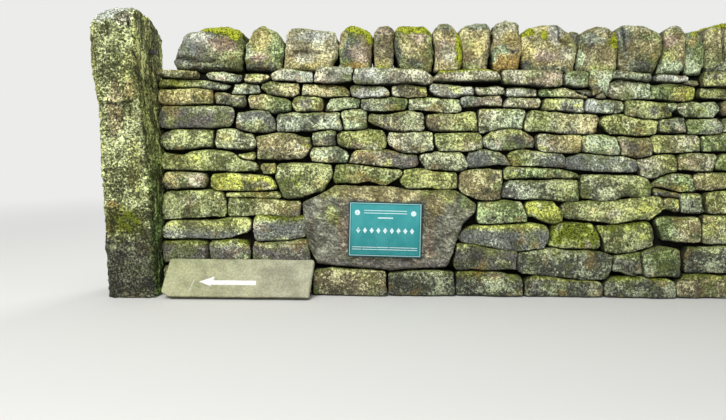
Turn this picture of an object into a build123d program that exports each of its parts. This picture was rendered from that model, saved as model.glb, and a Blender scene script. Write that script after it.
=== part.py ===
"""A length of dry stone boundary wall that ends against a stone gatepost.

The wall has two battered skins of coursed gritstone with hearting between them, heads built of
alternating headers and runners, a thin cover course and a row of upright cope stones. A large
face stone carries a cast plaque, and a stone sign slab leans on the foot of the wall.

Millimetres. +Z is up, +X runs along the wall to the right as seen from the front, and the front
face looks toward -Y. The origin is at the middle of the wall's base, on the ground.
"""

import os

from build123d import *

# Wall
wall_length = 3600
base_width = 690
batter = 0.134
skin_thickness = 140
footing_height = 160
footing_split = 60
course_heights = [130, 120, 160, 110, 110, 130, 120, 100, 50]
edge_round = 18
arris = 14
joint = 3
touch = 0.3

# Wall heads
header_length = 230

# Cover course
cover_height = 50
cover_overhang = 18
cover_lengths = [520, 430, 480, 390, 550, 410, 470]
cover_joint = 5

# Cope, laid from the gatepost end
cope_start = 43
cope_gap = 6
cope_overhang = 14.5
cope_end_round = 20
cope_corner_round = 26
cope_set_backs = [0, 12, 5, 18]

# Cope stones as seen from the front: the length that each takes along the wall, how far the next
# one tucks in beside it, and its corners from its lower left one
cope_stones = [
    (397, 0, [(19, 0), (374, 0), (397, 138), (373, 214), (295, 238), (187, 226), (71, 191), (0, 53)]),
    (214, 12, [(14, 0), (194, 0), (214, 150), (171, 212), (92, 246), (42, 214), (0, 148), (0, 34)]),
    (302, -6, [(0, 0), (263, 0), (300, 86), (302, 175), (290, 219), (176, 228), (35, 233), (14, 157)]),
    (184, 2, [(10, 0), (170, 0), (184, 106), (172, 206), (109, 245), (55, 253), (14, 219), (0, 129)]),
    (113, 0, [(15, 0), (106, 0), (113, 104), (112, 218), (86, 243), (29, 242), (0, 217), (5, 103)]),
    (214, 0, [(46, 0), (206, 0), (214, 108), (210, 211), (172, 239), (75, 250), (11, 250), (0, 147)]),
    (153, 12, [(9, 0), (142, 0), (153, 108), (141, 188), (106, 251), (56, 270), (19, 262), (0, 219)]),
    (170, 4, [(27, 0), (149, 0), (163, 152), (170, 225), (148, 263), (85, 271), (19, 262), (0, 224),
              (12, 110)]),
    (165, 0, [(28, 0), (147, 0), (165, 118), (154, 214), (148, 271), (71, 284), (17, 259), (0, 124)]),
    (309, 0, [(25, 0), (293, 0), (309, 147), (270, 213), (201, 265), (109, 267), (36, 244),
              (0, 201), (3, 71)]),
    (216, 19, [(1, 0), (206, 0), (216, 123), (196, 206), (156, 252), (92, 260), (11, 220), (0, 113)]),
    (276, 34, [(52, 0), (228, 0), (276, 148), (252, 222), (178, 265), (52, 267), (0, 236), (30, 93)]),
    (145, 2, [(0, 0), (107, 0), (145, 77), (141, 214), (100, 260), (48, 251), (28, 213), (35, 124)]),
    (109, 0, [(18, 0), (86, 0), (105, 63), (109, 153), (80, 215), (36, 243), (0, 230), (4, 120)]),
    (215, 0, [(10, 0), (203, 0), (215, 121), (182, 234), (91, 278), (10, 262), (0, 176)]),
    (352, 0, [(14, 0), (346, 0), (352, 120), (318, 208), (196, 246), (74, 238), (0, 150)]),
]

# Face stone that carries the plaque, measured from the wall head and from the ground
face_stone_depth = 220
face_stone_proud = 20
face_stone_round = 22
face_stone_corner = 20
face_stone_outline = [
    (765, 510), (850, 552), (950, 608), (1220, 610), (1380, 587), (1620, 590), (1742, 515),
    (1735, 465), (1660, 395), (1612, 240), (1575, 164), (1255, 143), (855, 174), (800, 280),
]

# Plaque
plaque_width = 406
plaque_height = 305
plaque_thickness = 12
plaque_rim = 12
plaque_rim_height = 3
plaque_corner = 10
plaque_from_head = 1230
plaque_centre_height = 370
plaque_turn = -1

# Gatepost
post_depth = 380
post_front = 420
post_height = 1530
post_foot_width = 267
post_foot_gap = 8
post_knee_height = 760
post_knee_width = 256
post_knee_gap = 24
post_waist_height = 1010
post_waist_width = 233
post_waist_gap = 50
post_head_width = 243
post_head_gap = 67
post_neck_height = 1220
post_shoulder = 100
post_brow = 55
post_back_slope_height = 100
post_back_slope_depth = 210
post_edge_round = 28

# Iron stub let into the gatepost
iron_width = 40
iron_height = 20
iron_proud = 26
iron_depth = 45
iron_below_head = 199
iron_from_front = 205

# Sign slab
slab_length = 819
slab_width = 210
slab_thickness = 45
slab_lean = 26
slab_from_head = 25
slab_corner = 14
slab_edge_round = 5

head_x = -wall_length / 2
far_x = wall_length / 2


def half_width(height):
    """Half the wall's width at a height above the ground."""
    return base_width / 2 - batter * height


course_beds = [footing_height]
for course_height in course_heights:
    course_beds.append(course_beds[-1] + course_height)
cover_bed = course_beds[-1]
cope_bed = cover_bed + cover_height

os.makedirs("parts", exist_ok=True)


def save(part, name):
    """Labels a finished piece and writes it."""
    part.label = name
    export_step(part, f"parts/{name}.step")


def skin_points(side, bed, top):
    """Corners of one skin's section, outer ones first, for the front (-1) or the back (1)."""
    return [
        (side * half_width(bed), bed),
        (side * half_width(top), top),
        (side * (half_width(top) - skin_thickness), top),
        (side * (half_width(bed) - skin_thickness), bed),
    ]


def head_block(start, length, bed, top):
    """A stone as wide as the wall, from face to face."""
    with BuildPart() as block:
        with BuildSketch(Plane.YZ.offset(start)):
            with BuildLine():
                Polyline(
                    (-half_width(bed), bed), (half_width(bed), bed),
                    (half_width(top), top), (-half_width(top), top), close=True)
            make_face()
        extrude(amount=length)
        ends = block.faces().filter_by(Plane.YZ)
        chamfer(ends.edges() + block.edges().filter_by(Axis.X), length=min(arris, 0.2 * (top - bed)))
    return block.part


def face_stone_pocket(gap):
    """The room that the face stone takes out of the front of the wall."""
    with BuildPart() as pocket:
        with BuildSketch(Plane.XZ):
            with BuildLine():
                Polyline([(head_x + x, z) for x, z in face_stone_outline], close=True)
            make_face()
            fillet(vertices(), radius=face_stone_corner)
            if gap:
                offset(amount=gap, kind=Kind.ARC)
        extrude(amount=base_width)
        with BuildSketch(Plane.YZ):
            with BuildLine():
                back = -half_width(0) + face_stone_depth + gap
                front = -half_width(0) - base_width
                Polyline((front, 0), (back, 0), (back, cope_bed), (front, cope_bed), close=True)
            make_face()
        extrude(amount=wall_length, both=True, mode=Mode.INTERSECT)
    return pocket.part


stone_room = face_stone_pocket(touch)


def has_header(course):
    """Every second course of a wall head is a header, from the first one up."""
    return course % 2 == 0


# Footings, two rows of large stones that reach the foot of the gatepost
for side, name in ((-1, "footing_front"), (1, "footing_back")):
    foot_start = head_x - post_foot_gap + touch
    with BuildPart() as footing:
        with BuildSketch(Plane.YZ.offset(foot_start)):
            with BuildLine():
                inner = footing_split + side * touch / 2
                Polyline(
                    (side * half_width(0), 0), (side * half_width(footing_height), footing_height),
                    (inner, footing_height), (inner, 0), close=True)
            make_face()
        extrude(amount=far_x - foot_start)
        outer = footing.edges().filter_by(Axis.X).group_by(Axis.Z)[-1].sort_by(Axis.Y)
        fillet(outer[0] if side < 0 else outer[-1], radius=edge_round)
        if side < 0:
            add(stone_room, mode=Mode.SUBTRACT)
    save(footing.part, name)

# Courses of both skins, which stop short of the header stones on every second course
for course, (bed, top) in enumerate(zip(course_beds, course_beds[1:])):
    inset = header_length + joint if has_header(course) else 0
    for side, face in ((-1, "front"), (1, "back")):
        with BuildPart() as skin:
            with BuildSketch(Plane.YZ.offset(head_x + inset)):
                with BuildLine():
                    Polyline(skin_points(side, bed, top), close=True)
                make_face()
            extrude(amount=wall_length - 2 * inset)
            along = skin.edges().filter_by(Axis.X).sort_by(Axis.Y)
            outer = along[:2] if side < 0 else along[-2:]
            chamfer(outer, length=min(arris, 0.2 * (top - bed)))
            if side < 0 and bed < max(z for x, z in face_stone_outline) + touch:
                add(stone_room, mode=Mode.SUBTRACT)
        save(skin.part, f"{face}_course_{course + 1}")

# Header stones at the two heads
for name, start in (("left_headers", head_x), ("right_headers", far_x - header_length)):
    with BuildPart() as headers:
        for course, (bed, top) in enumerate(zip(course_beds, course_beds[1:])):
            if has_header(course):
                add(head_block(start, header_length, bed, top))
    save(headers.part, name)

# Hearting between the skins, cut back where headers and the face stone reach in
with BuildPart() as hearting:
    with BuildSketch(Plane.YZ.offset(head_x)):
        with BuildLine():
            core_foot = half_width(footing_height) - skin_thickness - touch
            core_head = half_width(cover_bed) - skin_thickness - touch
            Polyline(
                (-core_foot, footing_height), (core_foot, footing_height),
                (core_head, cover_bed), (-core_head, cover_bed), close=True)
        make_face()
    extrude(amount=wall_length)
    for course, (bed, top) in enumerate(zip(course_beds, course_beds[1:])):
        if has_header(course):
            with BuildSketch(Plane.XY.offset(bed)):
                for end in (head_x, far_x):
                    with Locations((end, 0)):
                        Rectangle(2 * (header_length + joint), base_width)
            extrude(amount=top - bed, mode=Mode.SUBTRACT)
    add(stone_room, mode=Mode.SUBTRACT)
save(hearting.part, "hearting")

# Cover course of thin flags that lie across both skins
with BuildPart() as cover:
    flag_start = head_x
    flag = 0
    while flag_start < far_x:
        flag_length = cover_lengths[flag % len(cover_lengths)]
        room = far_x - flag_start
        if room < 1.4 * flag_length:
            flag_length = room
        reach = half_width(cover_bed) + cover_overhang
        with BuildSketch(Plane.XY.offset(cover_bed)):
            with Locations((flag_start + flag_length / 2, 0)):
                Rectangle(flag_length - cover_joint, 2 * reach)
            chamfer(vertices(), length=arris)
        extrude(amount=cover_height)
        flag_start += flag_length
        flag += 1
save(cover.part, "cover_course")

# Face stone, its front parallel to the wall's face and rounded all round
with BuildPart() as face_stone:
    with BuildSketch(Plane.YZ.offset(head_x)):
        with BuildLine():
            front = -half_width(0) - face_stone_proud
            back = -half_width(0) + face_stone_depth
            Polyline(
                (front, 0), (back, 0), (back, cope_bed),
                (front + batter * cope_bed, cope_bed), close=True)
        make_face()
    extrude(amount=wall_length)
    add(face_stone_pocket(0), mode=Mode.INTERSECT)
    fillet(face_stone.faces().sort_by(Axis.Y)[0].edges(), radius=face_stone_round)
save(face_stone.part, "face_stone")

# Plaque, a cast plate with a raised rim, flat on the front of the face stone
plaque_plane = Plane(
    origin=(
        head_x + plaque_from_head,
        -half_width(plaque_centre_height) - face_stone_proud,
        plaque_centre_height),
    x_dir=(1, 0, 0), z_dir=(0, -1, batter))
with BuildPart() as plaque:
    with BuildSketch(plaque_plane):
        RectangleRounded(plaque_width, plaque_height, plaque_corner, rotation=plaque_turn)
    extrude(amount=plaque_thickness)
    with BuildSketch(plaque_plane.offset(plaque_thickness)):
        RectangleRounded(plaque_width, plaque_height, plaque_corner, rotation=plaque_turn)
        RectangleRounded(
            plaque_width - 2 * plaque_rim, plaque_height - 2 * plaque_rim, plaque_corner / 2,
            rotation=plaque_turn, mode=Mode.SUBTRACT)
    extrude(amount=plaque_rim_height)
save(plaque.part, "plaque")

# Gatepost, one rough stone, narrowest at its waist, with a domed head that falls away at the back
post_left_head = -post_head_gap - post_head_width
post_outline = [
    (-post_foot_gap - post_foot_width, 0),
    (-post_foot_gap, 0),
    (-post_knee_gap, post_knee_height),
    (-post_waist_gap, post_waist_height),
    (-post_head_gap, post_neck_height),
    (-post_head_gap, post_height),
    (-post_head_gap - 0.5 * post_head_width, post_height),
    (-post_head_gap - 0.78 * post_head_width, post_height - 0.3 * post_shoulder),
    (post_left_head, post_height - post_shoulder),
    (post_left_head, post_neck_height),
    (-post_waist_gap - post_waist_width, post_waist_height),
    (-post_knee_gap - post_knee_width, post_knee_height),
]
iron_centre_height = post_height - iron_below_head
iron_face = head_x - post_head_gap
iron_y = -post_front + iron_from_front


def iron_bar(clearance, proud):
    """The stub's bar, or with a clearance the hole that it is let into."""
    with BuildPart() as bar:
        with BuildSketch(Plane.YZ.offset(iron_face - iron_depth - clearance)):
            with Locations((iron_y, iron_centre_height)):
                Rectangle(iron_width + 2 * clearance, iron_height + 2 * clearance)
        extrude(amount=iron_depth + clearance + proud)
    return bar.part


with BuildPart() as gatepost:
    with BuildSketch(Plane.XZ.offset(post_front - post_depth)):
        with BuildLine():
            Polyline([(head_x + x, z) for x, z in post_outline], close=True)
        make_face()
        fillet(vertices().group_by(Axis.Y)[1:], radius=post_edge_round)
    extrude(amount=post_depth)
    with BuildSketch(Plane.YZ):
        with BuildLine():
            post_back = -post_front + post_depth
            Polyline(
                (-post_front, 0), (post_back, 0), (post_back, post_height - post_back_slope_height),
                (post_back - post_back_slope_depth, post_height), (-post_front + post_brow, post_height),
                (-post_front, post_height - post_brow), close=True)
        make_face()
        fillet(vertices().group_by(Axis.Y)[1:], radius=post_edge_round)
    extrude(amount=wall_length, both=True, mode=Mode.INTERSECT)
    fillet(gatepost.faces().sort_by(Axis.Y)[0].edges().filter_by(
        lambda edge: edge.center().Z > touch), radius=post_edge_round)
    add(iron_bar(touch, iron_proud), mode=Mode.SUBTRACT)
save(gatepost.part, "gatepost")

save(iron_bar(0, iron_proud), "gatepost_iron")

# Sign slab, which stands on its back lower edge and leans its top back edge on the wall
lean = Rotation(-slab_lean, 0, 0)
with BuildPart() as slab:
    with BuildSketch(Plane.XZ):
        with BuildLine():
            Polyline(
                (0, 25), (45, 0), (slab_length - 24, 0), (slab_length, slab_width),
                (28, slab_width), close=True)
        make_face()
        fillet(vertices().group_by(Axis.Y)[-1], radius=slab_corner)
    extrude(amount=slab_thickness)
    fillet(slab.faces().sort_by(Axis.Y)[0].edges(), radius=slab_edge_round)
rise = Vector(0, 0, slab_width).rotate(Axis.X, -slab_lean)
slab_y = -half_width(rise.Z) - touch - rise.Y
save(Pos(head_x + slab_from_head, slab_y, 0) * lean * slab.part, "sign_slab")

# Cope stones, each with its own outline, laid one after another along the cover course
stone_start = head_x + cope_start
stone = 0
while stone_start < far_x - cope_start:
    stone_length, tuck, outline = cope_stones[stone % len(cope_stones)]
    set_back = cope_set_backs[stone % len(cope_set_backs)]
    reach = half_width(cover_bed) + cope_overhang - set_back
    with BuildPart() as cope:
        with BuildSketch(Plane.XZ.offset(-reach)):
            with BuildLine():
                Polyline([(stone_start + x, cope_bed + z) for x, z in outline], close=True)
            make_face()
            fillet(vertices().group_by(Axis.Y)[1:], radius=cope_corner_round)
        extrude(amount=2 * reach)
        ends = cope.faces().sort_by(Axis.Y)
        chamfer(ends[0].edges() + ends[-1].edges(), length=cope_end_round)
        split(bisect_by=Plane.YZ.offset(far_x), keep=Keep.BOTTOM)
    save(cope.part, f"cope_{stone + 1:02d}")
    stone_start += stone_length + cope_gap - tuck
    stone += 1
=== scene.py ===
# %% [markdown]
# Dry stone wall with gatepost: a lesson in Blender
#
# A dry stone wall has no mortar. Each stone is picked by hand, so no two are alike, and the dark
# gaps between them draw the wall as much as the stones do. This lesson dresses a plain model of
# such a wall. The plain model, called the frame here, fixes every size and place, and each cell
# makes one kind of piece or one finish that goes on it. The noise is given a seed, so that every
# run lays the same stones.

import math
import random

import bmesh
import bpy
from mathutils import Matrix, Vector, noise


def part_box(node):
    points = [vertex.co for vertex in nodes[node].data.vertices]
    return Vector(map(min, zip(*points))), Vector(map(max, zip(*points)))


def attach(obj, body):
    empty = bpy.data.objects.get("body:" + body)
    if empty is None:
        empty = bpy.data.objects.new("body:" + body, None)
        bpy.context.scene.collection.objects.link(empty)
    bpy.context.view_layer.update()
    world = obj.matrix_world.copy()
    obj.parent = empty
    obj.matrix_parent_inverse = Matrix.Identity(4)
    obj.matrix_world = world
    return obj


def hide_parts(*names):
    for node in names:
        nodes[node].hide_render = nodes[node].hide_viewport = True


NOISE_SEED = 5
noise.seed_set(NOISE_SEED)
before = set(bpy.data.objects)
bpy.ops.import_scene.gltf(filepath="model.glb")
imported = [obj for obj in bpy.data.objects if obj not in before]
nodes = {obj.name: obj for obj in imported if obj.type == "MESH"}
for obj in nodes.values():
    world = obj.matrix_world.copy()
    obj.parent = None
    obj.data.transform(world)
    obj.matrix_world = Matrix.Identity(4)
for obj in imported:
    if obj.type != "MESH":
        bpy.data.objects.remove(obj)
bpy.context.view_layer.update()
print("frame nodes:", len(nodes))

# %% [markdown]
# ## Measures that everything shares
#
# The wall leans in as it rises, which builders call its batter. Its face is a straight line that
# comes from the frame: it starts at the footing's outer edge and leans in as far as the first
# course stands back over the footing's height. Stones are then laid out on that leaning face in
# centimetres, because a waller thinks in centimetres too.

# %% The wall's face
CM = 0.01
foot_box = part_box("footing_front")
FOOT_HALF = -foot_box[0].y
TOP_COURSE = "front_course_9"
BATTER = (FOOT_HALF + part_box("front_course_1")[0].y) / foot_box[1].z
WALL_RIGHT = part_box(TOP_COURSE)[1].x


def face_half(height):
    """Half the wall's thickness at a height."""
    return FOOT_HALF - BATTER * height


print("batter", round(BATTER, 3), "half at foot", round(FOOT_HALF, 3))

# %% [markdown]
# ## Finishing a piece
#
# Every piece ends the same way: its mesh becomes an object at the origin, it gets its material,
# it rides on the frame, and the plain node that it stands for is hidden. One function does this, so
# no piece is forgotten.

# %% One finishing function
BODY = "root"
materials = {}


def finish_piece(bm, name, slot, stands_for=(), smooth=True):
    """Turns a bmesh into a finished object of that material slot."""
    mesh = bpy.data.meshes.new(name)
    bm.to_mesh(mesh)
    bm.free()
    if smooth:
        mesh.shade_smooth()
    piece = bpy.data.objects.new(name, mesh)
    bpy.context.scene.collection.objects.link(piece)
    mesh.materials.append(materials[slot])
    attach(piece, BODY)
    if stands_for:
        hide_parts(*stands_for)
    print(name, len(mesh.polygons), "faces")


def colour(red, green, blue):
    """A colour as it is picked on screen, turned into the values that shaders use."""
    def linear(part):
        part = part / 255
        return part / 12.92 if part <= 0.04045 else ((part + 0.055) / 1.055) ** 2.4
    return (linear(red), linear(green), linear(blue), 1.0)


# %% [markdown]
# ## Small helpers for shader nodes
#
# Stone weathers in layers: the rock, its grain, crusts of lichen, pits, moss, and the dirt that
# stays in the joints. Each layer is a node group that several materials share. These helpers add
# one node and plug in its inputs, so that a group reads like a recipe.

# %% Node helpers
def add_node(tree, kind, inputs=None, **settings):
    """Adds a node, sets its options, and links or sets its inputs."""
    made = tree.nodes.new("ShaderNode" + kind)
    for option, value in settings.items():
        setattr(made, option, value)
    for socket, value in (inputs or {}).items():
        if isinstance(value, bpy.types.NodeSocket):
            tree.links.new(value, made.inputs[socket])
        else:
            made.inputs[socket].default_value = value
    return made


def calc(tree, operation, first, second=0.0, third=0.0):
    """One step of arithmetic."""
    inputs = {0: first, 1: second, 2: third}
    return add_node(tree, "Math", inputs, operation=operation).outputs[0]


def blend_colours(tree, share, under, over, mode="MIX"):
    """Lays one colour over another."""
    inputs = {0: share, 6: under, 7: over}
    return add_node(tree, "Mix", inputs, data_type="RGBA", blend_type=mode).outputs[2]


def soft_step(tree, value, low, high, start=0.0, end=1.0):
    """Goes smoothly from one value to another as the input passes between two marks."""
    inputs = {"Value": value, "From Min": low, "From Max": high, "To Min": start, "To Max": end}
    return add_node(tree, "MapRange", inputs, interpolation_type="SMOOTHSTEP").outputs[0]


def grain(tree, where, scale, detail=3.0, roughness=0.55):
    """Cloudy noise, about 1 / scale metres from crest to crest. Detail adds finer layers to it."""
    inputs = {"Vector": where, "Scale": scale, "Detail": detail, "Roughness": roughness}
    return add_node(tree, "TexNoise", inputs).outputs["Fac"]


def new_group(name, inputs, outputs):
    """An empty node group with named sockets."""
    group = bpy.data.node_groups.new(name, "ShaderNodeTree")
    for socket, (kind, value) in inputs.items():
        made = group.interface.new_socket(socket, in_out="INPUT", socket_type="NodeSocket" + kind)
        made.default_value = value
    for socket, kind in outputs.items():
        group.interface.new_socket(socket, in_out="OUTPUT", socket_type="NodeSocket" + kind)
    entry = group.nodes.new("NodeGroupInput").outputs
    leave = group.nodes.new("NodeGroupOutput").inputs
    return group, entry, leave


def use_group(tree, group, inputs):
    """Places a group in a material or in another group."""
    return add_node(tree, "Group", inputs, node_tree=group).outputs


def object_place(tree):
    """Where a point lies, in metres from the object's origin."""
    return add_node(tree, "TexCoord").outputs["Object"]


def facing_up(tree):
    """How far a face looks up, from -1 to 1."""
    normal = add_node(tree, "NewGeometry").outputs["Normal"]
    return add_node(tree, "SeparateXYZ", {0: normal}).outputs["Z"]


def moved(tree, place, by):
    """A place moved by an amount, for a second noise that differs from the first."""
    return add_node(tree, "VectorMath", {0: place, 1: by}, operation="ADD").outputs[0]


def scaled(tree, vector, by):
    """A place or a colour times a value."""
    return add_node(tree, "VectorMath", {0: vector, "Scale": by}, operation="SCALE").outputs[0]


def as_grey(tree, value):
    """A value as a grey, to multiply a colour by."""
    return add_node(tree, "CombineXYZ", {0: value, 1: value, 2: value}).outputs[0]


# %% [markdown]
# ## Lichen
#
# Lichen grows in thin crusts with ragged edges, a few centimetres across, and each crust breaks
# up into crumbs. Two sizes of noise added together and then cut at a threshold give that ragged
# edge. The cover sets the threshold: a low one gives scattered flakes, a high one a full coat.
# Broader patches, hand-sized, say where green algae and ochre stains tint the stone.

# %% Lichen group
CRUMB_GRAIN = 58.0
CRUST_GRAIN = 9.0
CRUST_FRINGE = 0.045
ALGAE_GRAIN = 6.5
OCHRE_GRAIN = 8.0
lichen_group, lichen_in, lichen_out = new_group(
    "lichen_crust",
    {"Cover": ("Float", 0.5), "Size": ("Float", 1.0)},
    {"Crust": "Float", "Algae": "Float", "Ochre": "Float"})
tree = lichen_group
where = scaled(tree, object_place(tree), lichen_in["Size"])
crumbs = grain(tree, where, CRUMB_GRAIN, 6.0, 0.74)
patches = grain(tree, where, CRUST_GRAIN, 2.0)
mixed = calc(tree, "MULTIPLY_ADD", patches, 0.4, calc(tree, "MULTIPLY", crumbs, 0.6))
edge = calc(tree, "MULTIPLY_ADD", lichen_in["Cover"], -0.25, 0.6)
tree.links.new(soft_step(tree, mixed, edge, calc(tree, "ADD", edge, CRUST_FRINGE)), lichen_out["Crust"])
algae = grain(tree, where, ALGAE_GRAIN, 4.0, 0.6)
ochre = grain(tree, moved(tree, where, (3.1, 7.7, 5.3)), OCHRE_GRAIN, 4.0, 0.6)
tree.links.new(soft_step(tree, algae, 0.5, 0.66), lichen_out["Algae"])
tree.links.new(soft_step(tree, ochre, 0.54, 0.68), lichen_out["Ochre"])

# %% [markdown]
# ## Pits and speckle
#
# Gritstone weathers into small dark pits and cracks where coarse grains have dropped out. Noise
# cut at its low end leaves such spots, and the same mask lowers the bump there. Between the pits
# the grains themselves catch the light unevenly, which is the speckle.

# %% Pit group
PIT_GRAIN = 72.0
PIT_FRINGE = 0.05
SPECKLE_GRAIN = 95.0
pit_group, pit_in, pit_out = new_group(
    "stone_pits", {"Amount": ("Float", 0.5)}, {"Pits": "Float", "Speckle": "Float"})
tree = pit_group
spot = object_place(tree)
pit_noise = grain(tree, spot, PIT_GRAIN, 5.0, 0.75)
pit_edge = calc(tree, "MULTIPLY_ADD", pit_in["Amount"], 0.12, 0.36)
pits = soft_step(tree, pit_noise, pit_edge, calc(tree, "SUBTRACT", pit_edge, PIT_FRINGE))
tree.links.new(pits, pit_out["Pits"])
grains = grain(tree, moved(tree, spot, (5.7, 2.9, 8.1)), SPECKLE_GRAIN, 4.0, 0.78)
tree.links.new(soft_step(tree, grains, 0.4, 0.6), pit_out["Speckle"])

# %% [markdown]
# ## Moss
#
# Moss needs water, so it starts on ledges and tops. The way a face looks, up or down, is known
# to the shader as its normal, and noise breaks the edge of the moss up. High on the wall the
# moss is painted bright, as painted light, and near the ground dull and dark, as painted shade.

# %% Moss group
CLUMP_GRAIN = 22.0
TUFT_GRAIN = 110.0
DULL_BELOW, BRIGHT_ABOVE = 0.5, 1.25
moss_group, moss_in, moss_out = new_group(
    "moss_growth", {"Cover": ("Float", 0.0)},
    {"Moss": "Float", "Tufts": "Float", "Moss Colour": "Color"})
tree = moss_group
spot = object_place(tree)
clumps = grain(tree, spot, CLUMP_GRAIN, 5.0, 0.65)
tufts = grain(tree, spot, TUFT_GRAIN, 3.0)
ready = calc(tree, "MULTIPLY_ADD", facing_up(tree), 0.45, calc(tree, "MULTIPLY", clumps, 1.9))
ready = calc(tree, "MULTIPLY_ADD", moss_in["Cover"], 1.3, ready)
tree.links.new(soft_step(tree, ready, 1.75, 1.95), moss_out["Moss"])
tree.links.new(tufts, moss_out["Tufts"])
# Painted light and shade: the moss colour is brighter high on the wall and darker near the ground.
raised = add_node(tree, "SeparateXYZ", {0: spot}).outputs["Z"]
in_light = soft_step(tree, raised, DULL_BELOW, BRIGHT_ABOVE)
hollow = blend_colours(tree, in_light, colour(44, 54, 14), colour(98, 110, 14))
tip = blend_colours(tree, in_light, colour(152, 164, 50), colour(224, 232, 72))
tufted = blend_colours(tree, soft_step(tree, tufts, 0.38, 0.58), hollow, tip)
uneven = as_grey(tree, soft_step(tree, clumps, 0.36, 0.6, 0.72, 1.12))
tree.links.new(blend_colours(tree, 1.0, tufted, uneven, "MULTIPLY"), moss_out["Moss Colour"])

# %% [markdown]
# ## Weathered rock
#
# The layers come together here. Rock first, toned by broad noise and a fine sandy grain, then
# lichen, stains, pits and moss. The underside of a stone is painted darker, as painted shade. Last
# comes painted shade in the joints: each stone's mesh says how far a point lies behind the
# stone's face, and the colour sinks to black there, as shade does in a wall that light can't enter.

# %% Rock group
BROAD_GRAIN = 11.0
SAND_GRAIN = 260.0
FIBRE_GRAIN = 29.0
FIBRE_DRAWN = 3.4
PIT_COLOUR = colour(44, 44, 30)
UNDERSIDE_SHADE = 0.45
ROCK_INPUTS = {
    "Rock": ("Color", colour(130, 120, 90)), "Lichen": ("Color", colour(185, 190, 140)),
    "Lichen Cover": ("Float", 0.5), "Moss Cover": ("Float", 0.0), "Painted Shade": ("Float", 0.0),
    "Pits": ("Float", 0.5), "Size": ("Float", 1.0), "Fibre": ("Float", 0.0), "Grit": ("Float", 1.0),
    "Crust": ("Float", 0.9), "Stain": ("Float", 1.0),
}
rock_group, rock_in, rock_out = new_group(
    "weathered_rock", ROCK_INPUTS, {"Colour": "Color", "Roughness": "Float", "Height": "Float"})
tree = rock_group
spot = object_place(tree)
broad = grain(tree, spot, BROAD_GRAIN, 3.0)
sandy = grain(tree, spot, SAND_GRAIN, 2.0, 0.7)
pitted = use_group(tree, pit_group, {"Amount": rock_in["Pits"]})
tone = soft_step(tree, broad, 0.32, 0.68, 0.78, 1.16)
tone = calc(tree, "MULTIPLY", tone, soft_step(tree, sandy, 0.3, 0.7, 0.86, 1.14))
gritty = calc(tree, "MULTIPLY", calc(tree, "SUBTRACT", pitted["Speckle"], 0.48), rock_in["Grit"])
tone = calc(tree, "MULTIPLY", tone, calc(tree, "ADD", gritty, 1.0))
apart = add_node(tree, "SeparateXYZ", {0: spot}).outputs
waved = calc(tree, "MULTIPLY_ADD", broad, 0.1, calc(tree, "MULTIPLY_ADD", apart["X"], 0.25, apart["Z"]))
drawn = calc(tree, "MULTIPLY", waved, FIBRE_DRAWN)
waved = add_node(tree, "CombineXYZ", {0: apart["X"], 1: apart["Y"], 2: drawn}).outputs[0]
fibres = soft_step(tree, grain(tree, waved, FIBRE_GRAIN, 4.0, 0.75), 0.4, 0.6, -0.5, 0.45)
tone = calc(tree, "MULTIPLY", tone, calc(tree, "MULTIPLY_ADD", fibres, rock_in["Fibre"], 1.0))
tint = as_grey(tree, tone)
shade = blend_colours(tree, 1.0, rock_in["Rock"], scaled(tree, tint, 1.06), "MULTIPLY")
lichen = use_group(tree, lichen_group, {"Cover": rock_in["Lichen Cover"], "Size": rock_in["Size"]})
crusted = blend_colours(tree, 1.0, rock_in["Lichen"], scaled(tree, tint, 1.52), "MULTIPLY")
shade = blend_colours(tree, calc(tree, "MULTIPLY", lichen["Crust"], rock_in["Crust"]), shade, crusted)
upward = facing_up(tree)
ledges = soft_step(tree, upward, 0.1, 0.8)
green_share = calc(
    tree, "MAXIMUM", calc(tree, "MULTIPLY", lichen["Algae"], 0.45), calc(tree, "MULTIPLY", ledges, 0.5))
for stain, share in (
        (colour(132, 148, 54), green_share),
        (colour(190, 156, 88), calc(tree, "MULTIPLY", lichen["Ochre"], 0.36))):
    stained = blend_colours(tree, 1.0, stain, tint, "MULTIPLY")
    shade = blend_colours(tree, calc(tree, "MULTIPLY", share, rock_in["Stain"]), shade, stained)
pit_share = soft_step(tree, rock_in["Lichen Cover"], 0.65, 1.0, 0.75, 0.1)
shade = blend_colours(tree, calc(tree, "MULTIPLY", pitted["Pits"], pit_share), shade, PIT_COLOUR)
moss = use_group(tree, moss_group, {"Cover": rock_in["Moss Cover"]})
shade = blend_colours(tree, moss["Moss"], shade, moss["Moss Colour"])
# Painted shade: faces that look down are darkened, and points sunk deep in a joint go nearly black.
lit = soft_step(tree, upward, -0.8, -0.1, UNDERSIDE_SHADE, 1.0)
lit = calc(tree, "MULTIPLY", lit, calc(tree, "MULTIPLY_ADD", rock_in["Painted Shade"], -0.96, 1.0))
shade = blend_colours(tree, 1.0, shade, as_grey(tree, lit), "MULTIPLY")
tree.links.new(shade, rock_out["Colour"])
tree.links.new(calc(tree, "MULTIPLY_ADD", lichen["Crust"], 0.06, 0.86), rock_out["Roughness"])
height = calc(tree, "MULTIPLY_ADD", lichen["Crust"], 0.22, calc(tree, "MULTIPLY", sandy, 0.35))
height = calc(tree, "MULTIPLY_ADD", pitted["Speckle"], 0.35, height)
height = calc(tree, "MULTIPLY_ADD", pitted["Pits"], -0.6, height)
height = calc(tree, "MULTIPLY_ADD", broad, 0.5, height)
height = calc(tree, "MULTIPLY_ADD", calc(tree, "MULTIPLY", fibres, rock_in["Fibre"]), 0.8, height)
height = calc(tree, "MULTIPLY_ADD", calc(tree, "MULTIPLY", moss["Moss"], moss["Tufts"]), 1.2, height)
tree.links.new(height, rock_out["Height"])

# %% [markdown]
# ## The stone materials
#
# All stones share the rock group. A wall stone reads its rock colour, lichen and moss from its own
# mesh, where the laying cell below writes them, so one material serves hundreds of stones.

# %% Stone materials
def read_mesh(tree, name, output="Fac"):
    """A value or colour that the mesh carries at its points."""
    return add_node(tree, "Attribute", attribute_name=name).outputs[output]


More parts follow.
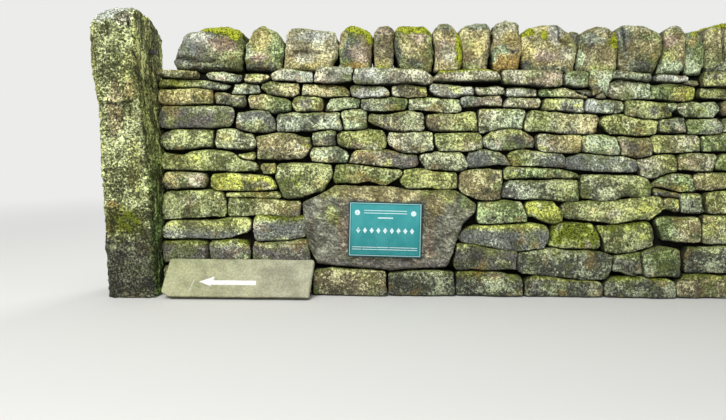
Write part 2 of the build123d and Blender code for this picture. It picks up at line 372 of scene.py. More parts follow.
def new_material(slot):
    """An empty material with its shader and output in place."""
    made = bpy.data.materials.new(slot)
    made.use_nodes = True
    made.node_tree.nodes.clear()
    tree = made.node_tree
    shader = add_node(tree, "BsdfPrincipled")
    add_node(tree, "OutputMaterial", {"Surface": shader.outputs[0]})
    materials[slot] = made
    return tree, shader


STONE_GLOSS = 0.25


def rock_material(slot, pits=0.3, size=1.0, bump=0.009, fibre=0.0, grit=1.0, crust=0.9, stain=1.0):
    """Weathered rock whose colours come from the mesh."""
    tree, shader = new_material(slot)
    rock = use_group(tree, rock_group, {
        "Rock": read_mesh(tree, "rock", "Color"), "Lichen": read_mesh(tree, "lichen", "Color"),
        "Lichen Cover": read_mesh(tree, "lichen_cover"), "Moss Cover": read_mesh(tree, "moss_cover"),
        "Painted Shade": read_mesh(tree, "painted_shade"), "Pits": pits, "Size": size, "Fibre": fibre, "Grit": grit,
        "Crust": crust, "Stain": stain})
    bumped = add_node(tree, "Bump", {"Height": rock["Height"], "Strength": 1.0, "Distance": bump})
    tree.links.new(rock["Colour"], shader.inputs["Base Color"])
    tree.links.new(rock["Roughness"], shader.inputs["Roughness"])
    tree.links.new(bumped.outputs[0], shader.inputs["Normal"])
    shader.inputs["Specular IOR Level"].default_value = STONE_GLOSS
    return tree, shader


rock_material("wall_stone", grit=1.3)
rock_material("cope_stone", pits=0.2, size=1.5, grit=1.3, crust=0.6, stain=0.7)
rock_material("gatepost_stone", pits=1.0, size=1.4, bump=0.012, grit=1.5, stain=0.4)
rock_material(
    "face_stone", pits=-0.1, size=1.2, bump=0.007, fibre=1.05, grit=0.7, crust=0.45, stain=0.4)
rock_material("hearting_stone")

# %% [markdown]
# ## Finishes
#
# A waller sees a stone's finish at a glance: buff, grey, lichened, mossy. Each word below stands
# for a rock colour, a lichen colour, and how much lichen and moss there is. Two words joined by >
# change from left to right, two joined by ^ change from the foot of the stone to its top, and in
# two joined by + the second is kept for the top edge.

# %% Table of finishes
FINISHES = {
    "lichen": (colour(112, 114, 88), colour(190, 195, 156), 0.6, 0.1),
    "buff": (colour(148, 137, 96), colour(208, 201, 152), 0.5, 0.05),
    "cream": (colour(150, 145, 116), colour(211, 209, 180), 0.55, 0.0),
    "yellow": (colour(120, 122, 72), colour(188, 192, 124), 0.55, 0.15),
    "bright": (colour(128, 134, 54), colour(194, 200, 98), 0.65, 0.15),
    "olive": (colour(110, 116, 74), colour(180, 186, 132), 0.5, 0.15),
    "green": (colour(102, 116, 74), colour(176, 192, 136), 0.5, 0.2),
    "mint": (colour(130, 142, 110), colour(206, 218, 178), 0.6, 0.05),
    "grey": (colour(106, 110, 96), colour(178, 185, 158), 0.55, 0.05),
    "dark": (colour(84, 86, 74), colour(158, 164, 134), 0.42, 0.1),
    "purple": (colour(118, 114, 107), colour(174, 173, 155), 0.2, 0.0),
    "brown": (colour(116, 108, 82), colour(180, 174, 134), 0.45, 0.1),
    "moss": (colour(98, 106, 50), colour(166, 178, 86), 0.55, 0.75),
    "cap": (colour(98, 106, 50), colour(166, 178, 86), 0.55, 1.3),
    "damp": (colour(84, 84, 40), colour(132, 134, 68), 0.4, 0.3),
    "soil": (colour(70, 70, 60), colour(112, 114, 92), 0.4, 0.0),
    "gold": (colour(158, 146, 92), colour(208, 198, 138), 0.55, 0.0),
    "ochre": (colour(160, 134, 76), colour(205, 182, 112), 0.45, 0.0),
    "pink": (colour(154, 138, 116), colour(206, 190, 164), 0.45, 0.0),
    "rain": (colour(186, 187, 172), colour(216, 219, 203), 0.4, -0.4),
    "washed": (colour(200, 203, 192), colour(214, 219, 206), 1.0, -0.5),
    "mottled": (colour(116, 120, 76), colour(212, 219, 160), 0.52, 0.05),
    "bark": (colour(109, 107, 93), colour(150, 151, 132), 0.45, 0.0),
    # painted shadow, brown, beside the plaque on the face stone
    "plaque_shadow": (colour(126, 112, 96), colour(160, 149, 130), 0.4, 0.0),
    "shade": (colour(72, 88, 50), colour(150, 174, 106), 0.4, 0.1),
    "slate": (colour(128, 132, 123), colour(184, 190, 172), 0.25, 0.0),
    "slab": (colour(176, 174, 148), colour(152, 151, 130), 0.4, -0.5),
    "sand": (colour(174, 173, 138), colour(148, 150, 116), 0.45, -0.5),
}


def clamp(value, low=0, high=1):
    """The value, kept between two limits."""
    return min(max(value, low), high)


def mix_finish(first, second, share):
    """A finish between two others."""
    return [
        tuple(a + (b - a) * share for a, b in zip(x, y)) if isinstance(x, tuple)
        else x + (y - x) * share
        for x, y in zip(first, second)]


def finish_at(words, across, up):
    """The finish at a place on a stone, both given from 0 to 1."""
    for sign, share in ((">", 2 * across - 0.5), ("^", 2 * up - 0.5), ("+", (up - 0.62) / 0.28)):
        if sign in words:
            first, second = (FINISHES[word] for word in words.split(sign))
            return mix_finish(first, second, clamp(share))
    return FINISHES[words]


# %% [markdown]
# A stone is never one finish all over. A patch lays another finish on part of it. It is given by
# that finish, its place as shares of the stone's width and height, and how far it reaches each way
# in centimetres. Noise frays its edge. Small stones get a few patches by chance. Their tops are also
# painted pale and yellow, as painted light, and their lower edges dark, as painted shade.

# %% Patches and painted top light
HIGH_PATCHES = (
    "dark", "soil", "purple", "pink", "lichen", "cream", "yellow", "bright", "green", "gold")
LOW_PATCHES = ("dark", "soil", "purple", "purple", "grey", "olive", "damp", "green")
LOW_LINE = 0.32


def patched_finish(words, patches, across, up, size, fray, strength=1.0):
    """The finish at a place on a stone, with its patches."""
    finish = finish_at(words, across, up)
    for word, middle, height, reach_across, reach_up in patches:
        away = math.hypot(
            (across - middle) * size.x / (reach_across * CM), (up - height) * size.z / (reach_up * CM))
        share = clamp((1.25 - away * (1 + 0.45 * fray)) / 0.5)
        if share > 0:
            finish = mix_finish(finish, FINISHES[word], share * strength)
    return finish


def frayed(point, drift):
    """Noise that frays the edges of patches."""
    return noise.noise(point * 26 + drift) + noise.noise(point * 60 - drift) * 0.6


def chance_patches(dice, height, size):
    """A few patches for a small stone, darker ones for a stone near the ground."""
    words = LOW_PATCHES if height < LOW_LINE else HIGH_PATCHES
    widest, highest = 0.24 * size.x / CM, 0.32 * size.z / CM
    return [
        (dice.choice(words), dice.random(), dice.random(),
         min(dice.uniform(1.5, 5), widest), min(dice.uniform(1, 3), highest))
        for _ in range(dice.randint(2, 4))]


def washed(finish, top_light):
    """A finish with painted light, from 0 at the lower edge of a stone to 1 at its top: painted shade
    at the lower edge and a pale yellow painted highlight at the top.
    """
    finish = mix_finish(finish, FINISHES["dark"], 0.45 * max(0, 0.35 - top_light) / 0.35)
    return mix_finish(finish, FINISHES["yellow"], 0.4 * max(0, top_light - 0.7) / 0.3)


print("finishes:", len(FINISHES))

# %% [markdown]
# ## Shaping one stone
#
# A stone starts as a cube that is cut into a grid, finer towards its edges. The grids are kept and
# used again, because many stones need the same one. The stone's outline is given by its corners as
# seen from the front. To lay the grid on it, the outline is split at its four outermost corners
# into a bottom, a top and two sides, and every grid point is blended between those four runs. That
# keeps long stones square at their ends, which pushing points outwards from the middle would not.
# The outline is also made a little fuller, to win back what the rounding of the edges takes, and
# its four corners are drawn out, because a waller picks blocks with square ends. Where that would
# close the joint to a neighbour, the stone is drawn back again.

# %% The grid and the outline
OUTLINE_POINTS = 96
FULLER = 0.005
DRAW_OUT = 0.013
CORNER_REACH = 6
LEAST_RUN = 5
JOINT = 0.008
blocks = {}


def cut_block(counts):
    """A cube from -1 to 1 whose edges along x, y and z are cut into so many parts."""
    if counts not in blocks:
        bm = bmesh.new()
        bmesh.ops.create_cube(bm, size=2)
        for axis, parts in enumerate(counts):
            along = [
                edge for edge in bm.edges
                if abs(edge.verts[0].co[axis] - edge.verts[1].co[axis]) > 1.5]
            if parts > 1:
                bmesh.ops.subdivide_edges(bm, edges=along, cuts=parts - 1, use_grid_fill=True)
        mesh = bpy.data.meshes.new("block")
        bm.to_mesh(mesh)
        bm.free()
        blocks[counts] = mesh
    return blocks[counts]


def walk_run(points, steps=24):
    """Evenly spaced points along a line through the given points."""
    lengths = [(b - a).length for a, b in zip(points, points[1:])]
    total = sum(lengths)
    walked, piece, run = 0.0, 0, []
    for step in range(steps + 1):
        goal = total * step / steps
        while piece < len(lengths) - 1 and walked + lengths[piece] < goal:
            walked += lengths[piece]
            piece += 1
        share = (goal - walked) / lengths[piece] if lengths[piece] else 0
        run.append(points[piece].lerp(points[piece + 1], clamp(share)))
    return run


def clockwise(corners):
    """Corners as vectors, in clockwise order as seen from the front."""
    ring = [Vector(corner) for corner in corners]
    if sum(a.x * b.y - a.y * b.x for a, b in zip(ring, ring[1:] + ring[:1])) > 0:
        ring.reverse()
    return ring


def edge_gap(point, corners):
    """How far a point lies outside a clockwise outline, and the way straight out of it."""
    best = None
    for a, b in zip(corners, corners[1:] + corners[:1]):
        out = Vector((a.y - b.y, b.x - a.x)).normalized()
        gap = (point - a) @ out
        if best is None or gap > best[0]:
            best = (gap, out)
    return best


def retreat(point, drawn, neighbours):
    """Draws a point back until it leaves its half of the joint to every neighbour."""
    for corners in neighbours:
        drawn_gap = edge_gap(drawn, corners)[0]
        gap, way = edge_gap(point, corners)
        short = (drawn_gap + JOINT) / 2 - gap
        if short > 0:
            point = point + way * short
    return point


def split_outline(corners, centre, half_x, half_z, neighbours=()):
    """The bottom, top, left and right runs of an outline, each as evenly spaced points."""
    count = OUTLINE_POINTS
    ring = clockwise(corners)
    ring = walk_run(ring + ring[:1], count)[:-1]
    ring = [(ring[i - 1] + 4 * ring[i] + ring[(i + 1) % count]) / 6 for i in range(count)]
    fuller = []
    for i in range(count):
        along = (ring[(i + 1) % count] - ring[i - 1]).normalized()
        fuller.append(ring[i] + Vector((-along.y, along.x)) * FULLER)
    drawn, ring = ring, fuller

    def outermost(x_way, z_way):
        return max(range(count), key=lambda i: (
            x_way * (ring[i].x - centre.x) / half_x + z_way * (ring[i].y - centre.y) / half_z))

    ways = ((-1, -1), (-1, 1), (1, 1), (1, -1))
    marks = [outermost(*way) for way in ways]
    for mark, way in zip(marks, ways):
        corner = Vector((centre.x + way[0] * half_x, centre.y + way[1] * half_z))
        pull = (corner - ring[mark]) * 0.5
        if pull.length > DRAW_OUT:
            pull = pull.normalized() * DRAW_OUT
        for step in range(1 - CORNER_REACH, CORNER_REACH):
            ring[(mark + step) % count] += pull * (1 - abs(step) / CORNER_REACH) ** 1.5
    ring = [retreat(point, before, neighbours) for point, before in zip(ring, drawn)]
    for one, two in ((0, 1), (2, 3), (1, 2), (3, 0)):
        room = LEAST_RUN - (marks[two] - marks[one]) % count
        if room > 0:
            marks[one] -= (room + 1) // 2
            marks[two] += (room + 1) // 2
    runs = []
    for one, two in zip(marks, marks[1:] + marks[:1]):
        length = (two - one) % count
        runs.append(walk_run([ring[(one + i) % count] for i in range(length + 1)]))
    left, top, right, bottom = runs
    return bottom[::-1], top, left, right[::-1]


def on_run(run, share):
    """The point at a share of a run."""
    step = clamp(share) * (len(run) - 1)
    first = min(int(step), len(run) - 2)
    return run[first].lerp(run[first + 1], step - first)


def on_outline(runs, a, b):
    """Blends the four runs of an outline at a share across and a share up."""
    bottom, top, left, right = runs
    point = on_run(bottom, a) * (1 - b) + on_run(top, a) * b
    point += on_run(left, b) * (1 - a) + on_run(right, b) * a
    point -= (bottom[0] * (1 - a) + bottom[-1] * a) * (1 - b) + (top[0] * (1 - a) + top[-1] * a) * b
    return point


# %% [markdown]
# The stone itself is shaped point by point. First the box gets its edges rounded, more in depth
# than across the face, so that the outline stays crisp. Then a few chips are planed off its front
# corners, and the outline is put on. Last come the lumps, the crumbs and the ledges where the
# stone has split along its bedding. A stone also leans a little out of the face, because no waller
# gets every face in one plane. Each point gets its finish too, and how far it is sunk in a joint.

# %% Shaping function
SPACING, DEPTH_SPACING = 0.012, 0.026
LUMP_GRAIN, LUMP = 9, 0.006
CRUMB_SIZE, CRUMB = 38, 0.0035
LEDGE = 0.0025
CHIPS, CHIP_DEPTH = 5, (0.002, 0.013)
EDGE_ROUND, DEPTH_ROUND = (0.003, 0.01), (0.008, 0.02)
SINK_FROM, SINK_OVER = 0.014, 0.026
RIM_SHADE, JOINT_SHADE = 0.25, 0.8
HEAD_EDGE = 0.03


def rock_noise(point, drift):
    """How a weathered surface departs from its plain shape at a point, as a vector."""
    lumps = noise.noise_vector(point * LUMP_GRAIN + drift) * LUMP
    crumbs = noise.noise_vector(point * CRUMB_SIZE + drift) * CRUMB
    bed = noise.noise(Vector((point.x * 6, point.y * 6, point.z * 42)) + drift)
    lumps.y += clamp(bed * 5, -1, 1) * LEDGE
    return lumps + crumbs


def open_distance(point, depth):
    """How far a point lies from the nearest side that daylight reaches: the face or a wall head."""
    return min(point.y, WALL_RIGHT - abs(point.x))


def both_faces(point, depth):
    """How far a point of a stone that lies right across the wall is from its open sides."""
    return min(point.y, depth - point.y, WALL_RIGHT - abs(point.x))


def random_drift(dice):
    """A shift that gives each stone its own stretch of noise."""
    return Vector((dice.uniform(0, 50), dice.uniform(0, 50), dice.uniform(0, 50)))


def paint_layers(bm):
    """The values that a stone's mesh carries for its material."""
    colours, floats = bm.verts.layers.float_color, bm.verts.layers.float
    layers = {name: colours.get(name) or colours.new(name) for name in ("rock", "lichen")}
    for name in ("lichen_cover", "moss_cover", "painted_shade"):
        layers[name] = floats.get(name) or floats.new(name)
    return layers


def paint_point(vert, layers, finish, tone, painted_shade):
    """Writes a finish, made brighter or darker by a tone, and the painted shade on a point of a stone.
    """
    rock, lichen, lichen_cover, moss_cover = finish
    vert[layers["rock"]] = [part * tone for part in rock[:3]] + [1]
    vert[layers["lichen"]] = [part * tone for part in lichen[:3]] + [1]
    vert[layers["lichen_cover"]] = lichen_cover
    vert[layers["moss_cover"]] = moss_cover
    vert[layers["painted_shade"]] = painted_shade


def shape_stone(bm, corners, words, seed, depth, place, far_corners=None, shown=open_distance,
                neighbours=()):
    """Adds one stone to a bmesh. Its outline is in metres, x and z, seen from the front."""
    dice = random.Random(seed)
    xs, zs = [c[0] for c in corners], [c[1] for c in corners]
    centre = Vector(((min(xs) + max(xs)) / 2, (min(zs) + max(zs)) / 2))
    half = Vector(((max(xs) - min(xs)) / 2, depth / 2, (max(zs) - min(zs)) / 2))
    runs = split_outline(corners, centre, half.x, half.z, neighbours)
    far_runs = split_outline(far_corners, centre, half.x, half.z) if far_corners else None
    counts = (
        max(4, round(2 * half.x / SPACING)), max(5, round(depth / DEPTH_SPACING)),
        max(4, round(2 * half.z / SPACING)))
    edge = min(min(half.x, half.z) * 0.4, dice.uniform(*EDGE_ROUND))
    radius = Vector((edge, dice.uniform(*DEPTH_ROUND), edge))
    dome = min(half.x, half.z) * dice.uniform(0.0, 0.14)
    lean = Vector((dice.uniform(-0.07, 0.07), 0, dice.uniform(-0.12, 0.08)))
    proud = dice.uniform(-0.006, 0.007)
    drift = random_drift(dice)
    chips = []
    for _ in range(CHIPS):
        way = Vector((dice.uniform(-1, 1), -dice.uniform(0.5, 1.2), dice.uniform(-1, 1))).normalized()
        far = abs(way.x) * half.x + abs(way.y) * half.y + abs(way.z) * half.z
        chips.append((way, far - dice.uniform(*CHIP_DEPTH)))
    layers = paint_layers(bm)
    tone = dice.uniform(0.92, 1.08)
    size = 2 * half
    patches = chance_patches(dice, centre.y, size)
    before = len(bm.verts)
    bm.from_mesh(cut_block(counts))
    bm.verts.ensure_lookup_table()
    for vert in bm.verts[before:]:
        u, v, w = vert.co
        u = (u + math.sin(u * math.pi / 2)) / 2
        w = (w + math.sin(w * math.pi / 2)) / 2
        behind = ((v + 1) / 2) ** 1.5
        point = Vector((u * half.x, (2 * behind - 1) * half.y, w * half.z))
        inner = Vector([
            clamp(value, soft - limit, limit - soft)
            for value, soft, limit in zip(point, radius, half)])
        out = Vector([(a - b) / soft for a, b, soft in zip(point, inner, radius)])
        if out.length > 1e-6:
            point = inner + out.normalized() * radius
        plain = Vector(point)
        for way, far in chips:
            over = point @ way - far
            if over > 0:
                point.y -= way.y * over * 0.9
        across = (point.x / half.x + 1) / 2
        up = (point.z / half.z + 1) / 2
        flat = on_outline(runs, across, up)
        if far_runs:
            flat = flat.lerp(on_outline(far_runs, across, up), behind)
        plain = Vector((flat.x, plain.y + half.y, flat.y))
        # Painted shade: the colour darkens deep in a joint and on a stone's sides and underside, and
        # less on its front rim there.
        painted_shade = clamp((shown(plain, depth) - SINK_FROM) / SINK_OVER)
        if WALL_RIGHT - abs(flat.x) > HEAD_EDGE and (abs(u) > 0.99 or w < -0.99):
            at_rim = v < -0.99 or (v > 0.99 and shown is both_faces)
            painted_shade = max(painted_shade, RIM_SHADE if at_rim else JOINT_SHADE)
        point = Vector((flat.x, point.y + half.y, flat.y))
        point.y -= dome * (1 - (2 * across - 1) ** 4) * (1 - (2 * up - 1) ** 4) * (1 - behind)
        point.y += lean.x * (flat.x - centre.x) + lean.z * (flat.y - centre.y)
        fray = frayed(point, drift)
        point += rock_noise(point, drift)
        point.y -= proud
        # Painted light: a stone's top is painted paler and yellower, and its lower edge darker as
        # painted shade.
        top_light = up + 0.35 * fray
        finish = washed(patched_finish(words, patches, across, up, size, fray, 0.7), top_light)
        paint_point(vert, layers, finish, tone * (0.93 + 0.33 * clamp(top_light)), painted_shade)
        vert.co = place(point)


# %% [markdown]
# ## The face, stone by stone
#
# Here is the wall as a waller would draw it: row by row from the footing up, each stone with its
# finish and its corners in centimetres on the leaning face, x to the right from the middle of the
# wall and z up from the ground. The rows are named by the course of the frame that they stand for.

# %% Stones of the lower rows
ROWS = {}
ROWS["footing"] = [
    ("brown", [(-180, 1), (-179, 14), (-172, 16), (-150, 16.5), (-142, 15), (-141, 1)]),
    ("dark", [(-139.5, 1), (-139, 14), (-132, 16.8), (-108, 16), (-99, 14), (-98, 1)]),
    ("brown", [(-96.5, 1), (-96, 13), (-88, 15), (-62, 13.5), (-57, 12), (-56, 1)]),
    ("dark", [(-54.5, 1), (-54, 12), (-45, 13.6), (-25, 13.8), (-19, 12.5), (-18, 1)]),
    ("dark+damp", [(-16.5, 1), (-16.5, 12), (-8, 14), (8, 13), (18, 11), (20, 8), (20, 1)]),
    ("dark+damp", [(21.5, 1), (21, 9), (28, 11.5), (42, 10), (60, 9), (64, 7), (64.5, 1)]),
    ("dark+moss", [(66, 1), (66, 8), (70, 11), (80, 11), (98, 11), (104, 9), (104.5, 1)]),
    ("brown+damp", [(106, 1), (106, 9), (112, 12.5), (126, 13), (139, 12), (140, 1)]),
    ("dark", [(141.5, 1), (142, 12), (150, 13.5), (170, 14), (179.5, 13), (180, 1)]),
]
ROWS["course_1"] = [
    ("purple+damp", [(-179.5, 26.5), (-178, 28.5), (-172, 29.2), (-162, 29), (-157.5, 28.5),
        (-156.5, 25), (-157, 18), (-178, 18)]),
    ("purple+moss", [(-154.5, 27), (-153, 29), (-146, 30), (-138, 30), (-134, 29), (-132, 24),
        (-132.5, 18), (-153, 18)]),
    ("purple+brown", [(-130.5, 25), (-129, 28), (-112, 29.5), (-106, 30.5), (-101.5, 30.5), (-100, 28),
        (-98, 18), (-130, 18)]),
    ("soil>purple", [(-18, 19), (-16, 28), (-10, 29), (-2, 27), (16, 25.5), (17, 22), (16, 16),
        (-17, 15)]),
    ("dark", [(16.5, 21), (19, 24), (25, 25.5), (33, 26.5), (55, 26), (67, 24), (71, 22), (70, 18),
        (68, 13), (64, 10), (42, 11), (20, 14), (17, 16.5)]),
    ("soil+green", [(71, 22.5), (80, 24), (85.5, 24.5), (86, 15), (80, 12), (71, 16)]),
    ("dark^green", [(86, 24.5), (92, 27.5), (98, 28.3), (104, 27), (107, 25), (108, 20), (107, 12),
        (88, 12)]),
    ("dark", [(110, 24), (113, 27.5), (120, 28.3), (140, 29), (142, 22), (140, 14), (112, 14.5)]),
    ("brown", [(143.5, 15), (144, 27), (150, 29.5), (179.6, 29), (180, 15)]),
]
ROWS["course_2"] = [
    ("slate^yellow", [(-179.5, 35.5), (-178, 38.5), (-174, 40), (-150, 40.7), (-145, 42.3),
        (-135, 42.5), (-132, 41.5), (-131.5, 37), (-133, 35), (-140, 33), (-145, 31.3), (-177, 31),
        (-179, 32.5)]),
    ("slate+moss", [(-130, 36), (-129, 42), (-127, 43.7), (-121, 44), (-115, 42.5), (-108, 42.3),
        (-104, 43.3), (-102, 41.5), (-101.5, 36), (-102, 33.5), (-108, 31.5), (-114, 30.3), (-126, 30),
        (-129, 32)]),
    ("slate+bright", [(-16, 33), (-13, 36.5), (-8, 38.5), (0, 39.5), (25, 40.5), (31, 39), (34, 36),
        (34, 32), (32, 29), (28, 27), (20, 26), (10, 26.3), (-2, 28.5), (-13, 31)]),
    ("moss", [(34.5, 31), (36, 36), (38, 40), (41, 41), (50, 41.3), (57, 40), (60.5, 37.5), (63, 33),
        (63, 28.5), (60, 27.3), (42, 27), (35, 29)]),
    ("olive+moss", [(61.5, 38.5), (65, 39), (75, 40), (80, 41), (89, 41.8), (91.5, 39), (93, 36),
        (93, 29.5), (91, 27.5), (85, 26.8), (80, 25.3), (72, 25), (67, 25.5), (66, 29), (64.5, 33)]),
    ("green>buff", [(94, 43), (98, 44.5), (117, 44.5), (119, 41), (119.5, 34), (119, 31.5), (103, 31.5),
        (98, 33.5), (96, 38)]),
    ("yellow", [(121, 45.5), (142, 45.8), (144, 38), (142, 30.5), (121, 30.5)]),
    ("olive", [(145.5, 31), (146, 43), (152, 45.5), (179.8, 45), (180, 31)]),
]
ROWS["course_3"] = [
    ("olive", [(-181.5, 49), (-181, 53.5), (-178, 55.5), (-170, 56), (-153, 57), (-149, 55.5),
        (-146, 52.5), (-145.5, 49), (-146, 45), (-149, 43.8), (-160, 43), (-179, 41.3), (-181, 43)]),
    ("yellow>olive", [(-145.5, 54.5), (-145, 56), (-125, 56.7), (-117, 57), (-115, 55), (-116, 53.7),
        (-130, 54), (-140, 54.3)]),
    ("olive>buff", [(-145, 50), (-144, 53), (-140, 53.5), (-130, 53), (-124, 54), (-119, 53),
        (-112, 51.5), (-105, 50.8), (-104.5, 48.5), (-105, 44), (-108, 43.3), (-114, 43.5),
        (-120, 44.7), (-142, 44), (-144.5, 46.5)]),
    ("green", [(-5.5, 43), (-4.8, 48), (-3.5, 51.3), (2, 53), (8, 53.3), (13, 53), (18, 51.5),
        (20.5, 49), (22, 45), (22, 41), (-4, 40.5)]),
    ("bright", [(21.5, 50), (23, 52.3), (27, 52.8), (35, 52.5), (38, 50.5), (41, 48), (42, 45.5),
        (41, 42), (38, 40.5), (35, 41), (30, 43), (22.5, 46)]),
    ("olive>yellow", [(42, 45.5), (42, 49.3), (45, 51.3), (55, 53), (65, 53), (76, 54), (85, 55),
        (94, 56.3), (98, 55), (99, 51), (96, 47.5), (92, 45.5), (90, 43.8), (82, 43.8), (75, 42),
        (70, 41), (64, 42.5), (47, 44)]),
    ("olive", [(99, 55), (105, 55), (108, 53.5), (108, 49), (106, 47.5), (98.5, 50)]),
    ("dark+green", [(108, 53), (109, 56.5), (112, 58), (116, 58.5), (119, 57), (120.5, 53), (121, 49),
        (120, 47), (110, 47.3)]),
    ("yellow", [(122, 53), (124, 57), (128, 59), (133, 60), (144, 59.5), (146, 53), (144, 47.5),
        (124, 47.5)]),
    ("olive", [(147.5, 47.5), (148, 56), (156, 59), (179.6, 58.5), (180, 47)]),
]
ROWS["course_4"] = [
    ("gold>cream", [(-181.5, 62), (-180, 66), (-177, 67.3), (-163, 67.3), (-159, 66), (-157, 63.5),
        (-158, 61), (-160, 59.5), (-168, 58.7), (-178, 58.3)]),
    ("bright", [(-154, 63.5), (-152.5, 66), (-147, 66.7), (-128, 66.2), (-123, 65.5), (-118.5, 62),
        (-117, 59.5), (-120, 58.3), (-140, 57.3), (-152.5, 58), (-154, 60.5)]),
    ("olive", [(-86, 66), (-84.5, 69), (-83.5, 72), (-76, 72.3), (-68, 71.7), (-50, 70.2), (-47.5, 68),
        (-50, 65.5), (-55, 62.5), (-59, 61.3), (-66, 64), (-74, 62.7), (-84, 63)]),
    ("yellow", [(-48.5, 64), (-46, 67.5), (-45, 69.5), (-36, 70), (-28, 69), (-19, 68.8), (-16.7, 66.5),
        (-16.3, 62.5), (-18, 60.7), (-24, 59.5), (-34, 60), (-44, 60.3), (-47, 61.5)]),
    ("buff", [(-15.5, 60), (-15, 66), (-12, 69.5), (0, 70.2), (8.3, 69.5), (8.5, 66), (8, 60), (7, 54),
        (4, 52.8), (1, 52.8), (-4, 54), (-9, 55.5), (-13, 58)]),
    ("green", [(9.5, 66), (10, 70), (13, 71.7), (30, 71), (40, 70.5), (46, 69.5), (50, 67.8),
        (51.5, 65.8), (30, 65.5), (11, 65.3)]),
    ("grey>olive", [(8, 57), (9.5, 60), (12, 63.5), (15, 64.8), (50, 65), (51.7, 63.5), (52, 57),
        (51, 53.5), (48, 52.8), (40, 53.5), (30, 54.3), (17, 54.3), (8, 56)]),
    ("lichen>olive", [(52.3, 60), (53, 66.5), (56, 67.5), (86, 67.3), (90, 65.5), (91.5, 62),
        (91.3, 58), (89, 56.2), (77, 56.5), (72, 54.3), (62, 53.8), (53.5, 56.5)]),
    ("green", [(92, 62.5), (95, 65.3), (100, 67.8), (105, 68.5), (114, 68.3), (116, 64), (116, 59.5),
        (110, 59), (103, 59.5), (94, 61.8)]),
    ("dark", [(93, 60.5), (96, 60.3), (103, 59), (108, 57), (109, 55.5), (100, 56.5), (93, 57.3)]),
    ("buff>yellow", [(116, 62), (116.5, 68), (121, 69.5), (148, 69.5), (150, 64), (148, 60.5),
        (118, 60)]),
    ("green", [(151.5, 60.5), (152, 67), (160, 69.3), (179.8, 69), (180, 60)]),
]
ROWS["course_5"] = [
    ("yellow>olive", [(-180, 71), (-179.5, 76.5), (-169, 76.7), (-167, 78.5), (-158, 79.5),
        (-150, 79.3), (-143, 78), (-139, 76), (-131, 73.5), (-128, 72), (-128, 70), (-131, 68.5),
        (-160, 68.7), (-177, 69)]),
    ("yellow", [(-139, 76.5), (-137, 77.3), (-131, 78.8), (-130, 77), (-131, 75.3), (-137, 74.5)]),
    ("gold", [(-126.5, 70.5), (-125.5, 72.5), (-119.5, 72.3), (-118.3, 70), (-118.5, 67.5),
        (-124.5, 67)]),
    ("olive", [(-117.5, 69), (-115, 72), (-110, 73.2), (-95, 72.3), (-88.5, 71.5), (-87, 68), (-87, 66),
        (-90, 60.5), (-93, 58), (-99, 56), (-105, 53.7), (-111, 53.5), (-114, 55.5), (-116.5, 60),
        (-118, 65)]),
    ("mint", [(-99.5, 78.5), (-98, 81), (-93, 82), (-84, 82.2), (-80, 80.5), (-78, 78), (-78, 74.5),
        (-80, 73.7), (-97, 74.3)]),
    ("brown>purple", [(-77.5, 74.5), (-75.5, 78), (-72, 80), (-55, 80.5), (-51, 79), (-46, 78),
        (-40, 77.5), (-38.5, 75.5), (-39, 73), (-42, 72), (-48, 70.7), (-58, 71), (-66, 72),
        (-75, 73.7)]),
    ("lichen", [(-38, 77), (-34.5, 78.8), (-28, 79.8), (-18, 79.5), (-13, 77.5), (-11.3, 74.5),
        (-11.5, 71), (-14, 69.8), (-20, 69.5), (-30, 70), (-34, 71.5), (-37, 74.5)]),
    ("slate", [(-11.5, 76), (-9, 79.5), (-5, 81), (0, 80.8), (6, 79.5), (9.5, 77.5), (12, 75),
        (13, 72.8), (7, 73.5), (0, 72.3), (-8, 71.5), (-11, 73)]),
    ("olive>slate", [(12, 78), (15, 80.5), (21, 81.5), (25, 80.5), (34, 80.3), (40, 79), (43, 76.5),
        (43.3, 73.5), (41, 72), (28, 73), (20, 72.2), (15, 72.5), (13.5, 75)]),
    ("slate", [(43.5, 76), (45, 77.5), (49, 78), (53, 79.5), (60, 79.3), (70, 78), (79, 77.3),
        (83, 75.5), (83.5, 71.5), (80, 70), (60, 70.3), (44.5, 71.5)]),
    ("cream>yellow", [(83.5, 74), (85, 76.5), (92, 78.3), (98, 79), (103, 79.3), (106, 77.5), (107, 74),
        (105, 71), (100, 68.8), (95, 67.3), (90, 66.5), (87, 67.5), (85.5, 70.5)]),
    ("buff>cream", [(107, 76), (109, 78.5), (113, 80), (119, 80.3), (127, 79), (128, 77), (126.5, 73.5),
        (125, 71), (116, 70.7), (107.5, 71.5)]),
    ("green", [(127.5, 73), (130, 78), (133, 80), (150, 80), (152, 74), (150, 71), (129, 71.5)]),
    ("olive", [(153.5, 71.5), (154, 78), (162, 80), (179.6, 79.5), (180, 71)]),
]
print("lower stones:", sum(len(row) for row in ROWS.values()))

